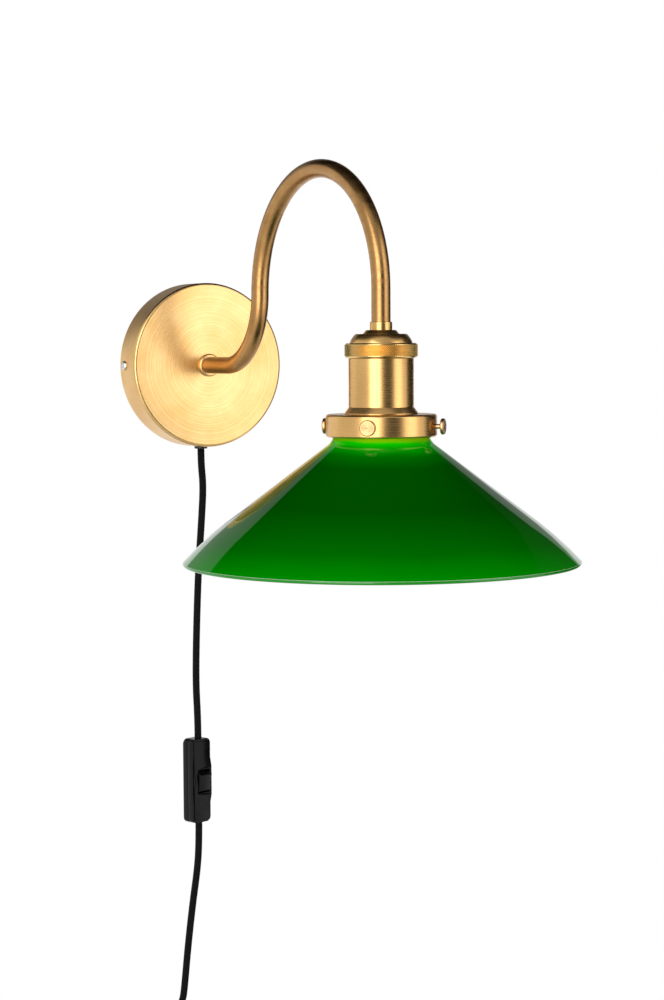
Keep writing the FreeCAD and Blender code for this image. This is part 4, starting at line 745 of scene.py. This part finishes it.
SCREW_HEIGHT = -37.6 * MM
SCREW_TIP = 30.9 * MM
SCREW_HEAD = 5.15
SCREW_STEM = 1.5
STEM_LENGTH = 4.9
HEAD_FACE = STEM_LENGTH + 2.5
LINE_WIDTH, LINE_DEPTH = 0.44, 0.07
screw_outline = [(0, 0), (SCREW_STEM - 0.4, 0), (SCREW_STEM, 0.4), (SCREW_STEM, STEM_LENGTH),
                 (SCREW_HEAD, STEM_LENGTH, 0.9), (SCREW_HEAD, HEAD_FACE, 0.9)]
for line_radius in (3.6, 2.8, 2.05, 1.3):
    screw_outline += [(line_radius + LINE_WIDTH / 2, HEAD_FACE), (line_radius, HEAD_FACE - LINE_DEPTH),
                      (line_radius - LINE_WIDTH / 2, HEAD_FACE)]
screw_outline += [(0.6, HEAD_FACE), (0, HEAD_FACE - 0.5)]
first_screw = lathe("thumb_screw", screw_outline, sides=48)
for quarter, (name, backed_out) in enumerate((("front", 0), ("left", 0), ("back", 0), ("right", 3))):
    screw = first_screw.copy()
    screw.data = first_screw.data.copy()
    screw.name = f"thumb_screw_{name}_dressed"
    bpy.context.scene.collection.objects.link(screw)
    around = math.radians(45 + 90 * quarter)
    outward = Vector((-math.sin(around), -math.cos(around), 0))
    place = outward * (SCREW_TIP + backed_out * MM) + Vector((0, LAMP_Y, SCREW_HEIGHT))
    settle(screw, location=place, turn=outward.to_track_quat("Z", "Y").to_euler())
    hand_over(screw, screw_brass, f"thumb_{name}", "brushed_brass", f"thumb_screw_{name}")
bpy.data.objects.remove(first_screw)

# %% [markdown]
# ## The glass shade
# Blown into a mould and cut at the neck: a short neck with a lip, a small curve, a straight cone
# and a skirt that steepens a little and ends in a fire-polished round edge. The wall is 3.5 mm
# thick, and 2.4 mm at the rim.
# The faces of the inside get the opal, all others the green. Below the neck a face belongs to
# the inside if it looks towards the lamp's axis.

# %% Shade
OPAL_TOP = -47 * MM
shade = on_lamp(lathe("cone_shade_glass", [
    (27.1, -31.6, 0.8), (27.1, -48.3, 12.1), (112.21, -112.44, 287), (125.94, -125.88, 1.2),
    (127.71, -124.26, 1.2), (114.57, -109.83, 198), (30.6, -46.55, 8.6), (30.6, -35.7, 0.3),
    (33.3, -35.7, 0.4), (33.3, -31.6, 1.0)], sides=192, closed=True, smooth_angle=60))
shade.data.materials.append(shade_green)
shade.data.materials.append(shade_opal)
for face in shade.data.polygons:
    middle = Vector((face.center.x, face.center.y - LAMP_Y, 0)).normalized()
    inner = face.normal.dot(middle) < -0.2 and face.center.z < OPAL_TOP
    face.material_index = 1 if inner else 0
hand_over(shade, shade_green, "fixture", "green_glass", "glass_shade")

# %% [markdown]
# ## The bulb
# A small satin globe on a screw cap. The cap's thread is a rounded wave of 3.6 mm pitch rolled
# into thin metal. The photograph doesn't look under the shade, so a usual globe that fits is made.

# %% Bulb
globe = on_lamp(lathe("bulb_globe_glass", [
    (11.2, -34.8), (12.4, -34.8), (12.4, -40.8, 0.4), (13.8, -42, 1.5), (20.4, -57, 8),
    (22.6, -64.5, 9), (22.6, -78, 14), (17.5, -88.8, 13), (8.0, -93.7, 18), (0, -93.8)], sides=96))
hand_over(globe, bulb_opal, "bulb", "opal_glass", "bulb_globe")
THREAD_FOOT, THREAD_PITCH = -40.1, 3.6
thread = []
for turn_number in range(5):
    foot = THREAD_FOOT + THREAD_PITCH * turn_number
    thread += [(12.5, foot, 0.8), (13.2, foot + THREAD_PITCH / 2, 0.8)]
bulb_base = on_lamp(lathe("bulb_cap_thread", [(12.6, -40.8)] + thread
                          + [(12.5, -21.8, 0.6), (6.8, -18.8, 0.5), (0, -18.8)], sides=96))
hand_over(bulb_base, plated_steel, "bulb", "nickel_steel", "bulb_cap")

# %% [markdown]
# ## Moulded pieces with softened edges
# The switch, its rocker, the plug and the coil's tie are right in the measured model but for
# one thing: real mouldings have small rounded edges that catch the light. So each is copied, its
# loose triangles are merged, and a bevel of a few tenths of a millimetre rounds its edges.

# %% Softened copies
EDGE_FACETS = 3
EDGE_ANGLE, SMOOTH_ANGLE = math.radians(28), math.radians(30)


def softened(node, name, width_mm):
    source = frame["nodes"][node]
    piece = source.copy()
    piece.data = source.data.copy()
    piece.name = name
    piece.parent = None
    bpy.context.scene.collection.objects.link(piece)
    piece.data.materials.clear()
    deselect_all()
    piece.select_set(True)
    bpy.context.view_layer.objects.active = piece
    bpy.ops.object.mode_set(mode="EDIT")
    bpy.ops.mesh.select_all(action="SELECT")
    bpy.ops.mesh.remove_doubles(threshold=2e-6)
    bpy.ops.mesh.customdata_custom_splitnormals_clear()
    bpy.ops.mesh.tris_convert_to_quads()
    bpy.ops.mesh.dissolve_limited(angle_limit=math.radians(1))
    bpy.ops.object.mode_set(mode="OBJECT")
    bevel = piece.modifiers.new("edge_rounding", "BEVEL")
    bevel.width = width_mm * MM
    bevel.segments = EDGE_FACETS
    bevel.limit_method = "ANGLE"
    bevel.angle_limit = EDGE_ANGLE
    bevel.harden_normals = False
    bpy.ops.object.modifier_apply(modifier=bevel.name)
    bpy.ops.object.shade_smooth_by_angle(angle=SMOOTH_ANGLE)
    return piece


for node, name, width_mm, finish, body_name, slot_name in (
        ("switch_base", "switch_rear_shell", 0.5, gloss_black, "fixture", "black_gloss"),
        ("switch_cover", "switch_front_shell", 0.45, gloss_black, "fixture", "black_gloss"),
        ("switch_rocker", "switch_rocker_key", 0.4, gloss_black, "rocker", "black_gloss"),
        ("plug_body", "plug_moulding", 0.8, satin_black, "fixture", "black_plastic"),
        ("coil_tie", "coil_tie_band", 0.3, satin_black, "fixture", "tie_webbing")):
    hand_over(softened(node, name, width_mm), finish, body_name, slot_name, node)

# %% [markdown]
# ## Pieces that stay as they are
# Screws, nuts, the wall strap, the terminal parts and the ceramic base are right as solids. Each
# gets the finish of its material slot.

# %% Finishes for the other solids
finish_of = {"brushed_brass": holder_brass, "nickel_steel": plated_steel, "zinc_steel": zinc_steel,
             "contact_brass": bare_brass, "black_plastic": satin_black, "black_gloss": gloss_black,
             "black_braid": satin_black, "tie_webbing": satin_black, "wire_insulation": core_sleeve,
             "ivory_plastic": ivory_polyamide, "phenolic": phenolic_brown,
             "porcelain": porcelain_white, "green_glass": shade_green, "opal_glass": bulb_opal}
for subpart in frame["record"]["subparts"]:
    node = frame["nodes"][subpart["node"]]
    if node.hide_render:
        continue
    node.data.materials.clear()
    node.data.materials.append(finish_of[subpart["material_slot"]])
print("solids that keep their own mesh:",
      sum(not node.hide_render for node in frame["nodes"].values()))

# %% [markdown]
# ## The cords
# Two cords are drawn above: one to the switch, one on to the coil and the plug.

print("cord curves: 2")

# %% [markdown]
# ## Floor, light and background
# The lamp hangs in front of white paper. Only what the camera, a reflection or the glass sees is
# white: light that falls on the lamp itself is softer. Polished brass shows its surroundings, so
# it needs something to mirror, and that comes after the floor.

# %% World and floor
FLOOR_HEIGHT = -0.68
world = bpy.data.worlds.new("studio")
bpy.context.scene.world = world
world.use_nodes = True
background = world.node_tree.nodes["Background"]
paths = add_node(world, "ShaderNodeLightPath")
seen = add_node(world, "ShaderNodeMath", links={0: paths.outputs["Is Camera Ray"],
                                                1: paths.outputs["Is Glossy Ray"]}, operation="MAXIMUM")
seen = add_node(world, "ShaderNodeMath", links={0: seen.outputs[0],
                                                1: paths.outputs["Is Transmission Ray"]},
                operation="MAXIMUM")
strength = add_node(world, "ShaderNodeMapRange", {"To Min": 0.45, "To Max": 1.0},
                    {"Value": seen.outputs[0]})
link(world, strength.outputs[0], background.inputs["Strength"])
background.inputs["Color"].default_value = (1, 1, 1, 1)

deselect_all()
bpy.ops.mesh.primitive_circle_add(vertices=96, radius=0.7, fill_type="NGON",
                                  location=(0, -0.2, FLOOR_HEIGHT))
floor = bpy.context.object
floor.name = "floor"
paper = new_material("pale_paper_floor", Base_Color=hex_colour("#EDEDEB"), Roughness=0.9)[0]
floor.data.materials.append(paper)
print("floor at z", FLOOR_HEIGHT, "m")

# %% [markdown]
# ## Soft boxes and cards
# Two tall soft boxes stand left and right of the camera, and flat cards stand where the studio
# of the photograph was darker than white paper. Cards are seen in reflections only and light
# nothing. Both are placed by compass round the lamp: azimuth and elevation in degrees, then
# distance, width and height in metres, and last the power in watts or the card's brightness.

# %% Soft boxes and cards


def compass(azimuth, elevation=0.0):
    """Direction from the lamp: 0 looks along +Y, 90 along +X."""
    a, e = math.radians(azimuth), math.radians(elevation)
    return Vector((math.sin(a) * math.cos(e), math.cos(a) * math.cos(e), math.sin(e)))


def soft_box(name, azimuth, elevation, distance, width, height, power):
    light = bpy.data.lights.new(name, "AREA")
    light.shape = "RECTANGLE"
    light.size = width
    light.size_y = height
    light.energy = power
    box = bpy.data.objects.new(name, light)
    bpy.context.scene.collection.objects.link(box)
    way = compass(azimuth, elevation)
    box.location = Vector(lamp_centre) + way * distance
    box.rotation_euler = way.to_track_quat("Z", "Y").to_euler()
    box.visible_camera = False
    return box


def card(name, azimuth, elevation, distance, width, height, value):
    """A flat card that only reflections see, facing the lamp."""
    deselect_all()
    bpy.ops.mesh.primitive_plane_add(size=1)
    board = bpy.context.object
    board.name = name
    way = compass(azimuth, elevation)
    board.scale = (width, height, 1)
    board.location = Vector(lamp_centre) + way * distance
    board.rotation_euler = way.to_track_quat("Z", "Y").to_euler()
    bpy.ops.object.transform_apply(location=True, rotation=True, scale=True)
    board_paper = new_material(name + "_paper", Roughness=1.0, Base_Color=(0, 0, 0, 1),
                               Specular_IOR_Level=0.0, Emission_Color=(value, value, value, 1),
                               Emission_Strength=1.0)[0]
    board.data.materials.append(board_paper)
    board.visible_camera = False
    board.visible_diffuse = False
    board.visible_shadow = False
    board.visible_transmission = False
    board.visible_volume_scatter = False
    return board


soft_box("soft_box_left", -127, 15, 1.3, 0.86, 1.9, 15)
soft_box("soft_box_right", 148, 8, 1.3, 0.62, 1.4, 3.4)
card("camera_side_card", -172, 4, 1.75, 1.25, 1.9, 0.03)
card("overhead_card", 28, 72, 1.2, 2.8, 1.9, 0.0)
card("front_overhead_card", -158, 46, 1.35, 1.6, 0.9, 0.5)
card("right_card", 84, 5, 1.6, 1.56, 2.2, 0.02)
card("left_card", -75, 14, 1.6, 1.6, 2.2, 0.8)
card("rear_card", 20, 25, 1.7, 3.0, 1.1, 0.30)
print("soft boxes:", [light.name for light in bpy.data.lights])

# %% [markdown]
# ## The end
# The colours are shown as they are written, with the Standard view.

# %% View settings and the end
bpy.context.scene.view_settings.view_transform = "Standard"
